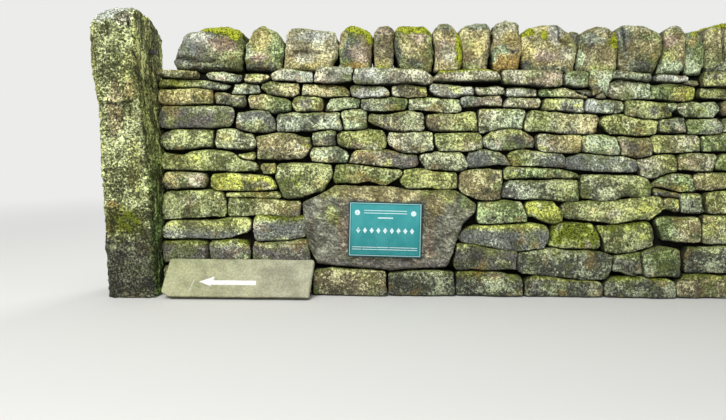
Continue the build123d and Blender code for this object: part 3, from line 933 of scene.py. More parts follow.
# %% Stones of the upper rows
ROWS["course_6"] = [
    ("olive", [(-182.5, 86), (-181, 88.5), (-177, 89.8), (-174, 91.5), (-160, 91.2), (-155, 90.7),
        (-153.5, 87), (-155, 83), (-162, 81.5), (-170, 80.5), (-178, 80.3), (-181.5, 82.5)]),
    ("lichen", [(-152, 87.5), (-150, 91), (-146, 91.7), (-140, 91), (-133, 88.5), (-130.3, 86),
        (-130.5, 82.5), (-133, 80.7), (-146, 80.5), (-151, 82), (-152.5, 84.5)]),
    ("buff>brown", [(-129.5, 86), (-124, 88.3), (-118, 89.7), (-109, 89.3), (-104, 87.5), (-99, 85.5),
        (-98.5, 81), (-101, 78), (-105, 76), (-112, 75.2), (-128.5, 75.5), (-128.5, 81), (-129.5, 84)]),
    ("dark", [(-98, 89.8), (-96, 90.5), (-88, 91.7), (-85.3, 91), (-85, 84), (-86.5, 83), (-96, 82.8),
        (-98, 84)]),
    ("yellow", [(-84.5, 88), (-81, 90), (-76, 91), (-66, 92), (-60, 91), (-58, 89.5), (-57, 86),
        (-57.5, 82.5), (-60, 81.3), (-81, 81.5), (-83, 84), (-84.5, 86)]),
    ("cream>lichen", [(-55.5, 86), (-54.5, 89.8), (-45, 90), (-38, 91), (-32, 90.8), (-30.5, 89),
        (-30, 83.5), (-31, 80.5), (-36, 79.5), (-48, 80), (-52, 82), (-55, 84.3)]),
    ("olive>yellow", [(-29.5, 88.5), (-27, 90), (-20, 90.5), (-10, 91), (-6, 90), (-3, 87), (-3.5, 83),
        (-6, 81), (-15, 80.5), (-25, 80.3), (-27.5, 82.5), (-29.3, 85)]),
    ("grey^yellow", [(-2.5, 86.5), (0, 89.5), (5, 91.5), (10, 92.7), (17, 92.5), (22, 90.5), (25.5, 88),
        (26.7, 85.3), (25, 84), (20, 82.3), (13, 81.3), (4, 81.5), (0, 83), (-2, 84.5)]),
    ("cream>gold", [(27.7, 85), (28.5, 89), (31, 90), (40, 89.5), (47, 90), (51, 89.7), (53, 87.5),
        (53.3, 84), (52, 81.5), (49, 80.5), (40, 80.3), (32, 81), (29, 82.3)]),
    ("mint", [(53, 86.5), (55, 88.7), (60, 89.8), (68, 89.6), (72, 88), (74, 85), (74.5, 82),
        (73, 79.3), (70, 79), (60, 79.8), (55, 81.5), (53.5, 84)]),
    ("brown", [(73.5, 88), (76, 89.3), (83, 88.3), (90, 88.2), (92, 86.5), (92.5, 82), (92, 80),
        (90, 78.5), (85, 77.3), (80, 78.5), (76, 79.5), (75, 82.5), (74.5, 86)]),
    ("yellow>cream", [(92.5, 89), (95, 90), (103, 90.3), (112, 90.5), (116, 90), (119, 88), (119.5, 85),
        (118, 82), (112, 81.5), (105, 80.8), (97, 80), (94, 81.5), (93.5, 86)]),
    ("green", [(120, 85), (121, 88.5), (126, 90), (132, 91.3), (146, 91.5), (148, 86), (146, 81.5),
        (122, 82)]),
    ("lichen", [(149.5, 82), (150, 89), (158, 91), (179.8, 90.5), (180, 81.5)]),
]
ROWS["course_7"] = [
    ("purple+grey", [(-183, 97), (-182, 102.5), (-179, 103.8), (-160, 104), (-145, 104.2),
        (-142, 101.5), (-141.7, 96), (-145, 93), (-160, 92.3), (-180, 92.2), (-182.5, 94)]),
    ("dark^slate", [(-141, 96), (-139, 99.5), (-135, 101.3), (-130, 102), (-124, 101.3), (-120, 98),
        (-118.5, 94.5), (-119.5, 92), (-122, 90.5), (-136, 90.5), (-140, 92.5)]),
    ("grey", [(-118, 97), (-116.5, 100.3), (-108, 101), (-100, 101.5), (-84, 101), (-82.5, 98),
        (-81.5, 93.5), (-83, 92), (-92, 91.8), (-100, 91), (-117, 90.5)]),
    ("mint", [(-82.5, 100), (-80, 102), (-75, 102.8), (-70, 102.5), (-68, 101), (-67.5, 93.5),
        (-69, 91.8), (-79, 91.5), (-81, 94)]),
    ("brown>lichen", [(-67, 98.5), (-64, 100), (-55, 100.3), (-47, 102.3), (-44, 102.3), (-37, 100.5),
        (-35.5, 98), (-35.5, 93), (-37, 92), (-50, 91.5), (-54, 92.3), (-60, 94.5), (-66, 96.5)]),
    ("brown>yellow", [(-34.5, 97), (-33, 99.5), (-28, 100.8), (-20, 101.2), (-10, 102.3), (-6, 101.5),
        (-5.3, 98), (-5.5, 92.5), (-7, 91.8), (-30, 92), (-33.5, 94)]),
    ("lichen>mint", [(-4.7, 98), (-4.5, 103), (0, 103.5), (8, 104), (17, 104), (20.5, 103),
        (21.5, 100.5), (19.5, 97), (18, 93.5), (15, 93), (5, 93), (0, 91.8), (-3, 91), (-4.5, 93)]),
    ("olive>buff", [(21, 96), (22, 101), (26, 103), (33, 102.5), (42, 101.8), (60, 100.8), (63, 98.5),
        (61.5, 95.5), (61, 92), (59, 91), (45, 91), (32, 92.3), (25, 92.3), (22, 91.5)]),
    ("yellow", [(63, 97.5), (66, 99.5), (72, 101.5), (76, 101.3), (85, 99.2), (95.5, 98.3), (96, 96.5),
        (94.5, 93), (93.5, 91), (88, 90.3), (70, 91.2), (67, 93), (64, 95.5)]),
    ("dark", [(96.5, 97), (99, 99), (103, 99.5), (107, 100), (110, 98.5), (112, 96), (112, 92),
        (100, 91.8), (97, 93)]),
    ("green>grey", [(112, 97.5), (115, 99), (122, 100), (128, 99.5), (131.5, 97), (131.5, 93),
        (129, 91.5), (113, 91.8)]),
    ("lichen", [(132.5, 93), (133, 99), (140, 101), (155, 100.5), (156, 94)]),
    ("grey", [(157.5, 93), (158, 99), (168, 101), (179.8, 100.5), (180, 93)]),
]
ROWS["course_8"] = [
    ("gold", [(-182, 109), (-181, 112.5), (-178, 113.3), (-163, 114), (-156, 112.8), (-154.8, 110),
        (-155, 106.5), (-163, 106), (-172, 105), (-180, 105.3), (-181.7, 107.5)]),
    ("soil", [(-153.5, 110.5), (-153, 112), (-148, 111.8), (-143, 110.5), (-137, 109.5),
        (-135.5, 107.5), (-136, 104.8), (-138, 104), (-148, 106), (-152, 107.5)]),
    ("buff>green", [(-134.5, 109), (-132, 110.7), (-124, 110.8), (-115, 109.5), (-110.5, 107),
        (-110, 103.5), (-113, 101.5), (-119, 100.8), (-124, 102.5), (-132, 103.7), (-134, 106)]),
    ("yellow", [(-109.5, 106), (-107, 109.5), (-103, 110.5), (-96, 110.3), (-92.5, 108.5), (-92, 104.5),
        (-93.5, 102), (-105, 101.8), (-109, 104)]),
    ("mint", [(-91, 101.5), (-89.5, 106.5), (-87, 108.7), (-80, 109.5), (-73, 109.3), (-72, 107.5),
        (-73, 104.5), (-80, 103.7), (-86, 102.2)]),
    ("grey>green", [(-71, 106), (-70, 108.5), (-62, 109.5), (-55, 110), (-46, 109.8), (-44.5, 108),
        (-45.5, 104.5), (-48, 103), (-68, 103), (-70.5, 104)]),
    ("lichen", [(-43.8, 107), (-42.5, 109.2), (-37, 110), (-23, 109.5), (-17, 108.5), (-15, 106),
        (-15.5, 103.3), (-21, 102), (-30, 103), (-43, 104)]),
    ("slate>pink", [(-15.5, 109.5), (-10, 111.3), (-3, 110.3), (2, 111.5), (6, 111.5), (9, 109),
        (8, 106), (-3, 106.2), (-13, 105.5), (-14.5, 107)]),
    ("cream", [(9, 106.5), (11.5, 109.5), (14, 110.5), (29, 109.8), (30.2, 108.5), (30, 105.3),
        (20, 105), (10, 105.8)]),
    ("yellow>grey", [(30.7, 105), (31.5, 109), (34, 109.8), (52, 110), (54.5, 109), (54.5, 103.5),
        (53, 102.8), (38, 104.3), (32, 103.8)]),
    ("washed>mint", [(55, 108), (57, 110), (70, 109.5), (74, 109.3), (77, 106), (76.5, 104.5),
        (72, 102.8), (57, 103.2), (55, 104.5)]),
    ("olive>yellow", [(77, 103), (77.3, 107.5), (79, 109.5), (85, 109.3), (95, 108.3), (100, 107.5),
        (103, 104.5), (104, 101.5), (103, 99.8), (88, 100), (80, 101.7)]),
    ("mint", [(101.5, 107.5), (106, 108), (107, 106), (103.5, 102.5)]),
    ("lichen>mint", [(106.5, 106), (109, 108.3), (115, 109), (120, 108), (127, 109.3), (131, 107),
        (130.5, 104.5), (127, 101), (120, 100.3), (112, 100.8), (108, 103.5)]),
    ("buff", [(132.5, 102), (133, 108.5), (140, 110), (152, 110), (153, 103)]),
    ("green", [(154.5, 102.5), (155, 109), (165, 110.3), (179.5, 109.5), (180, 102)]),
]
ROWS["course_9"] = [
    ("bright>grey", [(-181, 116), (-179, 118.8), (-172, 119), (-160, 118.5), (-150, 117.5),
        (-143.5, 115.5), (-150, 113.8), (-157, 114.5), (-162, 115.7), (-180, 115.5)]),
    ("grey", [(-143.5, 111.8), (-141, 116.5), (-137, 116.8), (-128.5, 116), (-128, 111.5)]),
    ("olive>buff", [(-127.5, 115.5), (-124, 118), (-118, 118.4), (-107.5, 118), (-105.5, 115),
        (-105.5, 112.2), (-109, 110.5), (-115, 110.3), (-122, 112)]),
    ("buff", [(-104.5, 113), (-102.5, 117), (-97, 116.9), (-88, 116.5), (-82, 116), (-77.8, 113.5),
        (-78, 111), (-90, 110.3), (-103, 111)]),
    ("rain>washed", [(-76.5, 115), (-75.5, 116.6), (-60, 115.8), (-55.5, 114), (-55, 111.5),
        (-57, 110.5), (-74, 110), (-76, 112)]),
    ("cream>gold", [(-53, 115.8), (-46, 117.2), (-34.5, 115.8), (-33.8, 112.8), (-35, 110.8),
        (-50, 110.3), (-52.5, 112)]),
    ("rain", [(-32, 116.5), (-31, 117.3), (-22, 116.8), (-10, 115.8), (-7.7, 114), (-9, 112.5),
        (-14, 112), (-20, 110.3), (-25, 110.5), (-30, 112.5), (-32, 114)]),
    ("cream", [(-6.8, 114.5), (-6, 116), (0, 116), (6, 116.8), (10, 115), (9.5, 113), (5, 112.5),
        (-5, 112.2)]),
    ("washed>cream", [(10.5, 113.5), (11, 115.2), (15, 116.2), (24, 115.8), (27.5, 114.8), (28, 112.5),
        (20, 111.2), (12, 112.5)]),
    ("green>buff", [(28.5, 114), (30, 115), (42, 116.3), (47, 115.5), (52, 113.8), (56, 112),
        (56.5, 110.8), (40, 111.8), (30, 112)]),
    ("rain", [(50, 114.8), (57, 115.2), (60, 114.5), (60, 112.3), (55, 112.7)]),
    ("rain", [(61, 111), (62, 113), (67.5, 114.5), (67.2, 112), (65, 110.2), (62, 110.2)]),
    ("cream>mint", [(68, 113), (68.3, 119.7), (72, 120.8), (80, 120.8), (87, 119.5), (91, 118),
        (92, 113), (91, 110.5), (73, 110.2), (70, 112)]),
    ("green>bright", [(92, 117), (99, 118.3), (109, 119.2), (116, 117.5), (116, 112), (114, 110),
        (105, 109.5), (92, 111.5)]),
    ("rain", [(110, 119.3), (115, 120.8), (120, 121), (119.5, 119), (116.5, 117.8)]),
    ("yellow", [(119.5, 113), (120.5, 116.5), (140, 116.5), (140, 111), (125, 111.2), (121, 112)]),
    ("lichen", [(141.5, 111), (142, 116.5), (158, 117), (159.5, 112)]),
    ("olive", [(161, 111.5), (161.5, 117), (179.5, 117), (180, 111)]),
]
ROWS["cover"] = [
    ("buff", [(-184, 120.8), (-175, 120.3), (-163, 120.5), (-162.5, 122.6), (-170, 123.4),
        (-180, 123.6), (-184, 123)]),
    ("grey", [(-157.5, 120.5), (-156, 122.7), (-148, 122.8), (-138, 121), (-137.5, 119), (-140, 118),
        (-150, 118.5)]),
    ("buff", [(-136.5, 118.5), (-134.5, 121.7), (-125, 121.5), (-121.5, 120.3), (-125, 119),
        (-129, 117.8), (-133, 117.5)]),
    ("cream>washed", [(-121.8, 122), (-114.5, 125), (-110, 124.8), (-104, 123.5), (-99, 122.5),
        (-98, 120), (-99, 118.3), (-112, 118.5), (-119, 119)]),
    ("cream>rain", [(-97.5, 120), (-95, 125), (-92, 126.2), (-78, 126), (-75.5, 124), (-77, 119.5),
        (-80, 118.5), (-90, 117.2), (-96, 118)]),
    ("rain>cream", [(-76, 121.5), (-73, 125), (-65, 125.8), (-40, 125), (-34, 123.5), (-30.5, 121),
        (-31, 118.5), (-35, 117.3), (-50, 118), (-68, 117.5), (-72, 117.2), (-75, 119.5)]),
    ("cream+moss", [(-30.5, 121), (-26, 124.3), (-10, 125.2), (0, 125.3), (5, 124), (6.7, 121.8),
        (5, 120.2), (-10, 119.7), (-29, 119.5)]),
    ("cream>pink", [(7, 123.5), (9, 125), (14, 125.3), (36, 125.3), (40.5, 125), (41.3, 122.5),
        (41, 118), (38, 117.2), (25, 117.5), (10, 118.2), (8, 120.5)]),
    ("washed>mint", [(43, 122), (44, 125), (53, 125), (55.5, 123.5), (55.3, 117.5), (53, 116.5),
        (47, 117), (43.5, 118)]),
    ("mint", [(56.3, 118), (56, 122.5), (57.5, 125.3), (61, 126.3), (66, 126.3), (69, 125), (69, 121.5),
        (67.8, 120), (67.5, 116), (66, 113.5), (62, 112.3), (59.5, 113.5), (58.3, 116)]),
    ("grey", [(69, 124.8), (71, 125.5), (80, 124.8), (90, 123.5), (91.5, 121.5), (90, 120.5),
        (80, 120.9), (69.5, 122)]),
    ("rain>washed", [(93, 122), (95, 123.3), (108, 123.2), (111, 122), (110.5, 120), (94, 120.2)]),
    ("yellow", [(120, 119.5), (119.5, 122.5), (121, 125.3), (140, 125.3), (140, 117.3), (122, 117.3)]),
    ("lichen", [(141, 118), (142, 124), (160, 125), (161, 119)]),
    ("buff", [(162.5, 118.5), (163, 124.5), (180, 124), (180, 118)]),
]
print("all stones:", sum(len(row) for row in ROWS.values()))

# %% [markdown]
# ## Laying the rows
#
# The front rows are laid where they are drawn. The back repeats them, turned half round, with
# plain stones where the big face stone sits in front, because such a stone doesn't reach through.
# At the two heads every second row has long stones that run from face to face and tie the wall
# together, which is the strongest way to end a dry wall.

# %% Laying function
BACK_FILL = {
    "course_1": [("brown", [(-98, 17), (-97, 28), (-90, 30), (-74, 29.5), (-72, 18)]),
                 ("dark", [(-70, 17), (-69, 27), (-60, 29), (-48, 28.5), (-46, 17)]),
                 ("brown", [(-44.5, 16), (-44, 27), (-34, 29.5), (-21, 28), (-20, 16)])],
    "course_2": [("grey", [(-100, 31.5), (-99, 40), (-90, 42), (-78, 41), (-76, 32)]),
                 ("olive", [(-74, 31), (-73, 40), (-62, 41.5), (-46, 40.5), (-45, 31)]),
                 ("buff", [(-43, 31), (-42, 38), (-33, 40.5), (-20, 39.5), (-18, 31)])],
    "course_3": [("lichen", [(-103, 43.5), (-102, 51), (-90, 52.5), (-80, 51.5), (-79, 44)]),
                 ("yellow", [(-77, 43.5), (-76, 49), (-60, 51), (-50, 50), (-49, 43)]),
                 ("grey", [(-47, 42.5), (-46, 49), (-30, 52), (-9, 50), (-8, 42)])],
    "course_4": [("buff", [(-89, 54), (-88, 60), (-70, 61), (-62, 60), (-61, 53)]),
                 ("olive", [(-59, 52.5), (-58, 59), (-40, 58.5), (-20, 57.5), (-16, 53)])],
}
HEAD_COURSES = ("course_1", "course_3", "course_5", "course_7", "course_9")
COURSE_NAMES = [f"course_{number}" for number in range(1, 10)]
SKIN_DEPTH = 0.135
FOOTING_DEPTH = 0.335
HEAD_REACH = 179.4
POST_STRETCH = 15
POST_SIDE = ((0, -180.4), (76, -182.0), (100, -184.5), (160, -184.5))


def post_side(height):
    """The gatepost's side towards the wall, at a height, both in centimetres."""
    for (low, near), (high, far) in zip(POST_SIDE, POST_SIDE[1:]):
        if low <= height <= high:
            return near + (far - near) * (height - low) / (high - low)
    return POST_SIDE[0][1]


def to_post(corners):
    """Stretches the first stone of a front row until it all but touches the gatepost."""
    side = post_side(sum(z for x, z in corners) / len(corners))
    left = min(x for x, z in corners)
    return [(x + (side - left) * max(0, 1 - (x - left) / POST_STRETCH), z) for x, z in corners]


def in_metres(corners):
    """Corners in metres instead of centimetres."""
    return [(x * CM, z * CM) for x, z in corners]


def within_heads(corners, turned=False):
    """Corners in metres, kept within the wall heads: the right one in front, both at the back."""
    kept = [(min(x, HEAD_REACH), z) for x, z in corners]
    if turned:
        kept = [(max(x, -HEAD_REACH), z) for x, z in kept]
    return in_metres(kept)


def on_face(turned):
    """Gives the function that puts a stone's point on the front or the turned back face."""
    sign = -1 if turned else 1

    def place(point):
        return Vector((sign * point.x, sign * (point.y - face_half(point.z)), point.z))
    return place


def across_wall(depth):
    """Gives the function that spreads a stone's depth over the whole thickness of the wall."""
    def place(point):
        half = face_half(point.z)
        return Vector((point.x, (2 * point.y / depth - 1) * half, point.z))
    return place


# %% Neighbours
OUTLINES = {
    (row, number): clockwise(in_metres(corners))
    for row, stones in ROWS.items() for number, (words, corners) in enumerate(stones)}
NEAR = 0.03


def neighbours_of(row, number):
    """The outlines that lie within a few centimetres of a stone's own."""
    def extent(ring):
        return [pick(point[axis] for point in ring) for axis in (0, 1) for pick in (min, max)]

    left, right, low, high = extent(OUTLINES[row, number])
    found = []
    for key, ring in OUTLINES.items():
        start, end, foot, head = extent(ring)
        beside = start < right + NEAR and end > left - NEAR
        if key != (row, number) and beside and foot < high + NEAR and head > low - NEAR:
            found.append(ring)
    return found


# %% Laying both faces
for row_number, row in enumerate(COURSE_NAMES):
    for turned, face in ((False, "front"), (True, "back")):
        bm = bmesh.new()
        stones = [
            (words, corners, neighbours_of(row, number))
            for number, (words, corners) in enumerate(ROWS[row])]
        if not turned:
            words, corners, near = stones[0]
            stones[0] = (words, to_post(corners), near)
        if row in HEAD_COURSES:
            stones = stones[1:-1]
        if turned:
            stones += [(words, corners, ()) for words, corners in BACK_FILL.get(row, [])]
        for number, (words, corners, near) in enumerate(stones):
            shape_stone(
                bm, within_heads(corners, turned), words, 1000 * row_number + 500 * turned + number,
                depth=SKIN_DEPTH, place=on_face(turned), neighbours=near)
        finish_piece(bm, f"{face}_stones_{row[-1]}", "wall_stone", [f"{face}_{row}"])

# %% Through stones at both heads
for side in ("left", "right"):
    bm = bmesh.new()
    for number, row in enumerate(HEAD_COURSES):
        end, other_end = (0, -1) if side == "left" else (-1, 0)
        words, corners = ROWS[row][end]
        near = within_heads(to_post(corners) if side == "left" else corners)
        far = [(-x, z) for x, z in within_heads(ROWS[row][other_end][1], turned=True)]
        thickness = 2 * face_half(sum(z for x, z in near) / len(near))
        shape_stone(
            bm, near, words, 8000 + 10 * number + (side == "left"), depth=thickness,
            place=across_wall(thickness), far_corners=far, shown=both_faces,
            neighbours=neighbours_of(row, end % len(ROWS[row])))
    finish_piece(bm, f"{side}_through_stones", "wall_stone", [f"{side}_headers"])

# %% Footing stones
for turned, face in ((False, "front"), (True, "back")):
    bm = bmesh.new()
    for number, (words, corners) in enumerate(ROWS["footing"]):
        shape_stone(
            bm, in_metres(corners), words, 9000 + 50 * turned + number, depth=FOOTING_DEPTH,
            place=on_face(turned), neighbours=neighbours_of("footing", number))
    finish_piece(bm, f"{face}_footing_stones", "wall_stone", [f"footing_{face}"])

# %% [markdown]
# ## Cover stones
#
# The cover course is thin flags that lie right across the wall and carry the cope. They are laid
# like the rows, but each is as deep as the wall and stands a little proud of both faces. Blocks
# painted near black as shade fill what their ragged ends leave open, or daylight would show through the
# wall.

# %% Cover stones
POST_GAP = 0.06
FILLING_SHADE_COLOURS = (colour(48, 45, 36), colour(60, 58, 44), 0.2, 0.0)
FILLING_SHADE = 0.9
COVER_INSET = 0.05


def shade_filling(bm, low, high, counts):
    """Adds a rough block inside the wall between two corners, painted near black as shade. Its front
    half meets the post.
    """
    layers = paint_layers(bm)
    before = len(bm.verts)
    bm.from_mesh(cut_block(counts))
    bm.verts.ensure_lookup_table()
    for vert in bm.verts[before:]:
        share = [(part + 1) / 2 for part in vert.co]
        point = Vector([a + (b - a) * s for a, b, s in zip(low, high, share)])
        paint_point(vert, layers, FILLING_SHADE_COLOURS, 1, FILLING_SHADE)
        if point.x < -WALL_RIGHT + POST_GAP and point.y < 0.01:
            point.x = post_side(point.z / CM) * CM + 0.01
        vert.co = point + noise.noise_vector(point * 12) * 0.008


cover_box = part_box("cover_course")
cover_depth = cover_box[1].y - cover_box[0].y
bm = bmesh.new()
for number, (words, corners) in enumerate(ROWS["cover"]):
    corners = to_post(corners) if number == 0 else corners
    shape_stone(
        bm, within_heads(corners), words, 9500 + number, depth=cover_depth, shown=both_faces,
        neighbours=neighbours_of("cover", number),
        place=lambda point: Vector((point.x, point.y + cover_box[0].y, point.z)))
# Painted shade: one block inside the cover course and one along its join with the cope stones.
low, high = cover_box
shade_filling(
    bm, (low.x + COVER_INSET, low.y + COVER_INSET, low.z + 0.004),
    (high.x - COVER_INSET, high.y - COVER_INSET, high.z - 0.012), (60, 6, 3))
shade_filling(
    bm, (low.x + 2 * COVER_INSET, -COVER_INSET, high.z - 0.02),
    (high.x - 2 * COVER_INSET, COVER_INSET, high.z + 0.02), (60, 3, 2))
finish_piece(bm, "cover_stones", "wall_stone", ["cover_course"])

# %% [markdown]
# ## Hearting
#
# Small stones packed between the faces carry the load inward. Almost none of it is seen, only
# shade behind the joints, so a rough block painted near black, as painted shade, stands for it.
# At the two heads it does show between the end stones, so packing stones are laid there, facing
# outwards.

# %% Hearting
JOINT_DEPTH = 0.05
PACKING = ("brown", "dark", "grey", "olive", "buff")
PACKING_WIDTH, PACKING_DEPTH = 0.11, 0.1
bm = bmesh.new()
core_low, core_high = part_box("hearting")
shade_filling(
    bm, (core_low.x + 0.03, -1, core_low.z), (core_high.x - 0.03, 1, core_high.z - 0.01), (48, 6, 16))
for vert in bm.verts:
    vert.co.y *= face_half(vert.co.z) - JOINT_DEPTH
dice = random.Random(61)
for row in COURSE_NAMES:
    if row in HEAD_COURSES:
        continue
    bed, top = (corner.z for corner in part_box(f"back_{row}"))
    room = face_half((bed + top) / 2) - SKIN_DEPTH
    count = max(1, round(2 * room / PACKING_WIDTH))
    for sign in (-1, 1):
        edges = [-room + 2 * room * number / count for number in range(count + 1)]
        for left, right in zip(edges, edges[1:]):
            rise = dice.uniform(0, 0.3) * (top - bed)
            corners = [
                (left + 0.005, bed + 0.004), (left + 0.008, top - 0.006 - rise),
                ((left + right) / 2, top - 0.005), (right - 0.008, top - 0.01 - rise / 2),
                (right - 0.005, bed + 0.005)]
            shape_stone(
                bm, corners, dice.choice(PACKING), dice.randrange(10000), depth=PACKING_DEPTH,
                place=lambda point: Vector((
                    sign * (HEAD_REACH * CM - point.y), sign * point.x, point.z)),
                shown=lambda point, depth: point.y)
finish_piece(bm, "hearting_core", "hearting_stone", ["hearting"])

# %% [markdown]
# ## The big weathered stones
#
# The cope stones, the gatepost, the face stone and the sign slab have true shapes in the frame
# already. A copy of each is merged, wrapped in an even skin of small squares and then worn with
# the same noise as the small stones. The even skin matters: noise on a few long triangles would
# only bend them.

# %% Wearing a copy of a node
MERGE_WITHIN = 0.00005


def wrapped_copy(node_name, square):
    """A bmesh of a frame node, merged and covered with even squares of that size."""
    source = nodes[node_name].data.copy()
    bm = bmesh.new()
    bm.from_mesh(source)
    bmesh.ops.remove_doubles(bm, verts=bm.verts, dist=MERGE_WITHIN)
    bm.to_mesh(source)
    bm.free()
    holder = bpy.data.objects.new("holder", source)
    bpy.context.scene.collection.objects.link(holder)
    wrap = holder.modifiers.new("wrap", "REMESH")
    wrap.mode = "VOXEL"
    wrap.voxel_size = square
    ready = holder.evaluated_get(bpy.context.evaluated_depsgraph_get())
    mesh = bpy.data.meshes.new_from_object(ready)
    bpy.data.objects.remove(holder)
    bm = bmesh.new()
    bm.from_mesh(mesh)
    return bm


# %% [markdown]
# The patches of a big stone are listed one by one, such as a cap of moss or a stain. Cracks are lines
# on its front face that cut inwards.

# %% Cracks and wear
def crack_depth(point, cracks):
    """How deep the nearest crack is at a point of the front face."""
    depth = 0
    for x_start, z_start, x_end, z_end, width, deepest in cracks:
        run = Vector((x_end - x_start, z_end - z_start))
        offset = Vector((point.x, point.z)) - Vector((x_start, z_start))
        away = (offset - run * clamp(offset @ run / run.length_squared)).length
        depth = max(depth, deepest * (1 - away / width))
    return depth


MOSS_THICK = 0.007
FRONT_FACING = -0.3
CRACK_BLACK = 0.01
DARKEST = 0.85


def joint_shade(point, normal, low, high, joints):
    """How dark a cope stone is where it stands on the wall or faces the next cope stone."""
    side = joints[0] if normal.x < 0 else joints[1]
    beside = clamp((abs(normal.x) - 0.55) / 0.3) * side
    behind = clamp((min(point.y - low.y, high.y - point.y) - 0.02) / 0.04)
    return max(0.8 * beside * behind, 0.75 * (1 - (point.z - low.z) / 0.016))


def wear(bm, words, seed, patches=(), side_words=None, lump=0.009, crumb=0.004, ledge=0.002,
         cracks=(), inward=0.25, bright=1.0, joints=None):
    """Wears a wrapped stone with noise along its normals and paints its finish."""
    dice = random.Random(seed)
    drift = random_drift(dice)
    tone = bright * dice.uniform(0.94, 1.06)
    layers = paint_layers(bm)
    low = Vector([min(v.co[i] for v in bm.verts) for i in range(3)])
    size = Vector([max(v.co[i] for v in bm.verts) for i in range(3)]) - low
    bm.normal_update()
    moves = []
    for vert in bm.verts:
        point = vert.co
        rise = noise.noise(point * LUMP_GRAIN + drift) * lump
        rise += noise.noise(point * CRUMB_SIZE + drift) * crumb
        bed = noise.noise(Vector((point.x * 5, point.y * 5, point.z * 38)) + drift)
        rise += clamp(bed * 5, -1, 1) * ledge * (1 - abs(vert.normal.z))
        crack = crack_depth(point, cracks) if vert.normal.y < FRONT_FACING else 0
        moves.append(vert.normal * (rise - inward * lump - crack))
        across, up = (point.x - low.x) / size.x, (point.z - low.z) / size.z
        finish = patched_finish(words, patches, across, up, size, frayed(point, drift))
        mossy = clamp(finish[3] - 0.5, 0, 0.8)
        moves[-1] += vert.normal * mossy * MOSS_THICK * (1 + noise.noise(point * 90 + drift))
        here = tone
        if side_words:
            streak = noise.noise(Vector((point.y * 60, point.x * 20, point.z * 5)) + drift)
            share = clamp((vert.normal.x - 0.45 + 0.35 * streak) / 0.3)
            finish = mix_finish(finish, finish_at(side_words, across, up), share)
            here *= max(1 + 2.2 * streak * share, 0.3)
        painted_shade = joint_shade(point, vert.normal, low, low + size, joints) if joints else 0
        # Painted shade: a crack darkens by its depth, and joint_shade darkens a cope stone's foot and
        # the sides that face its neighbours.
        paint_point(vert, layers, finish, here, clamp(max(painted_shade, crack / CRACK_BLACK), 0, DARKEST))
    for vert, move in zip(bm.verts, moves):
        vert.co += move
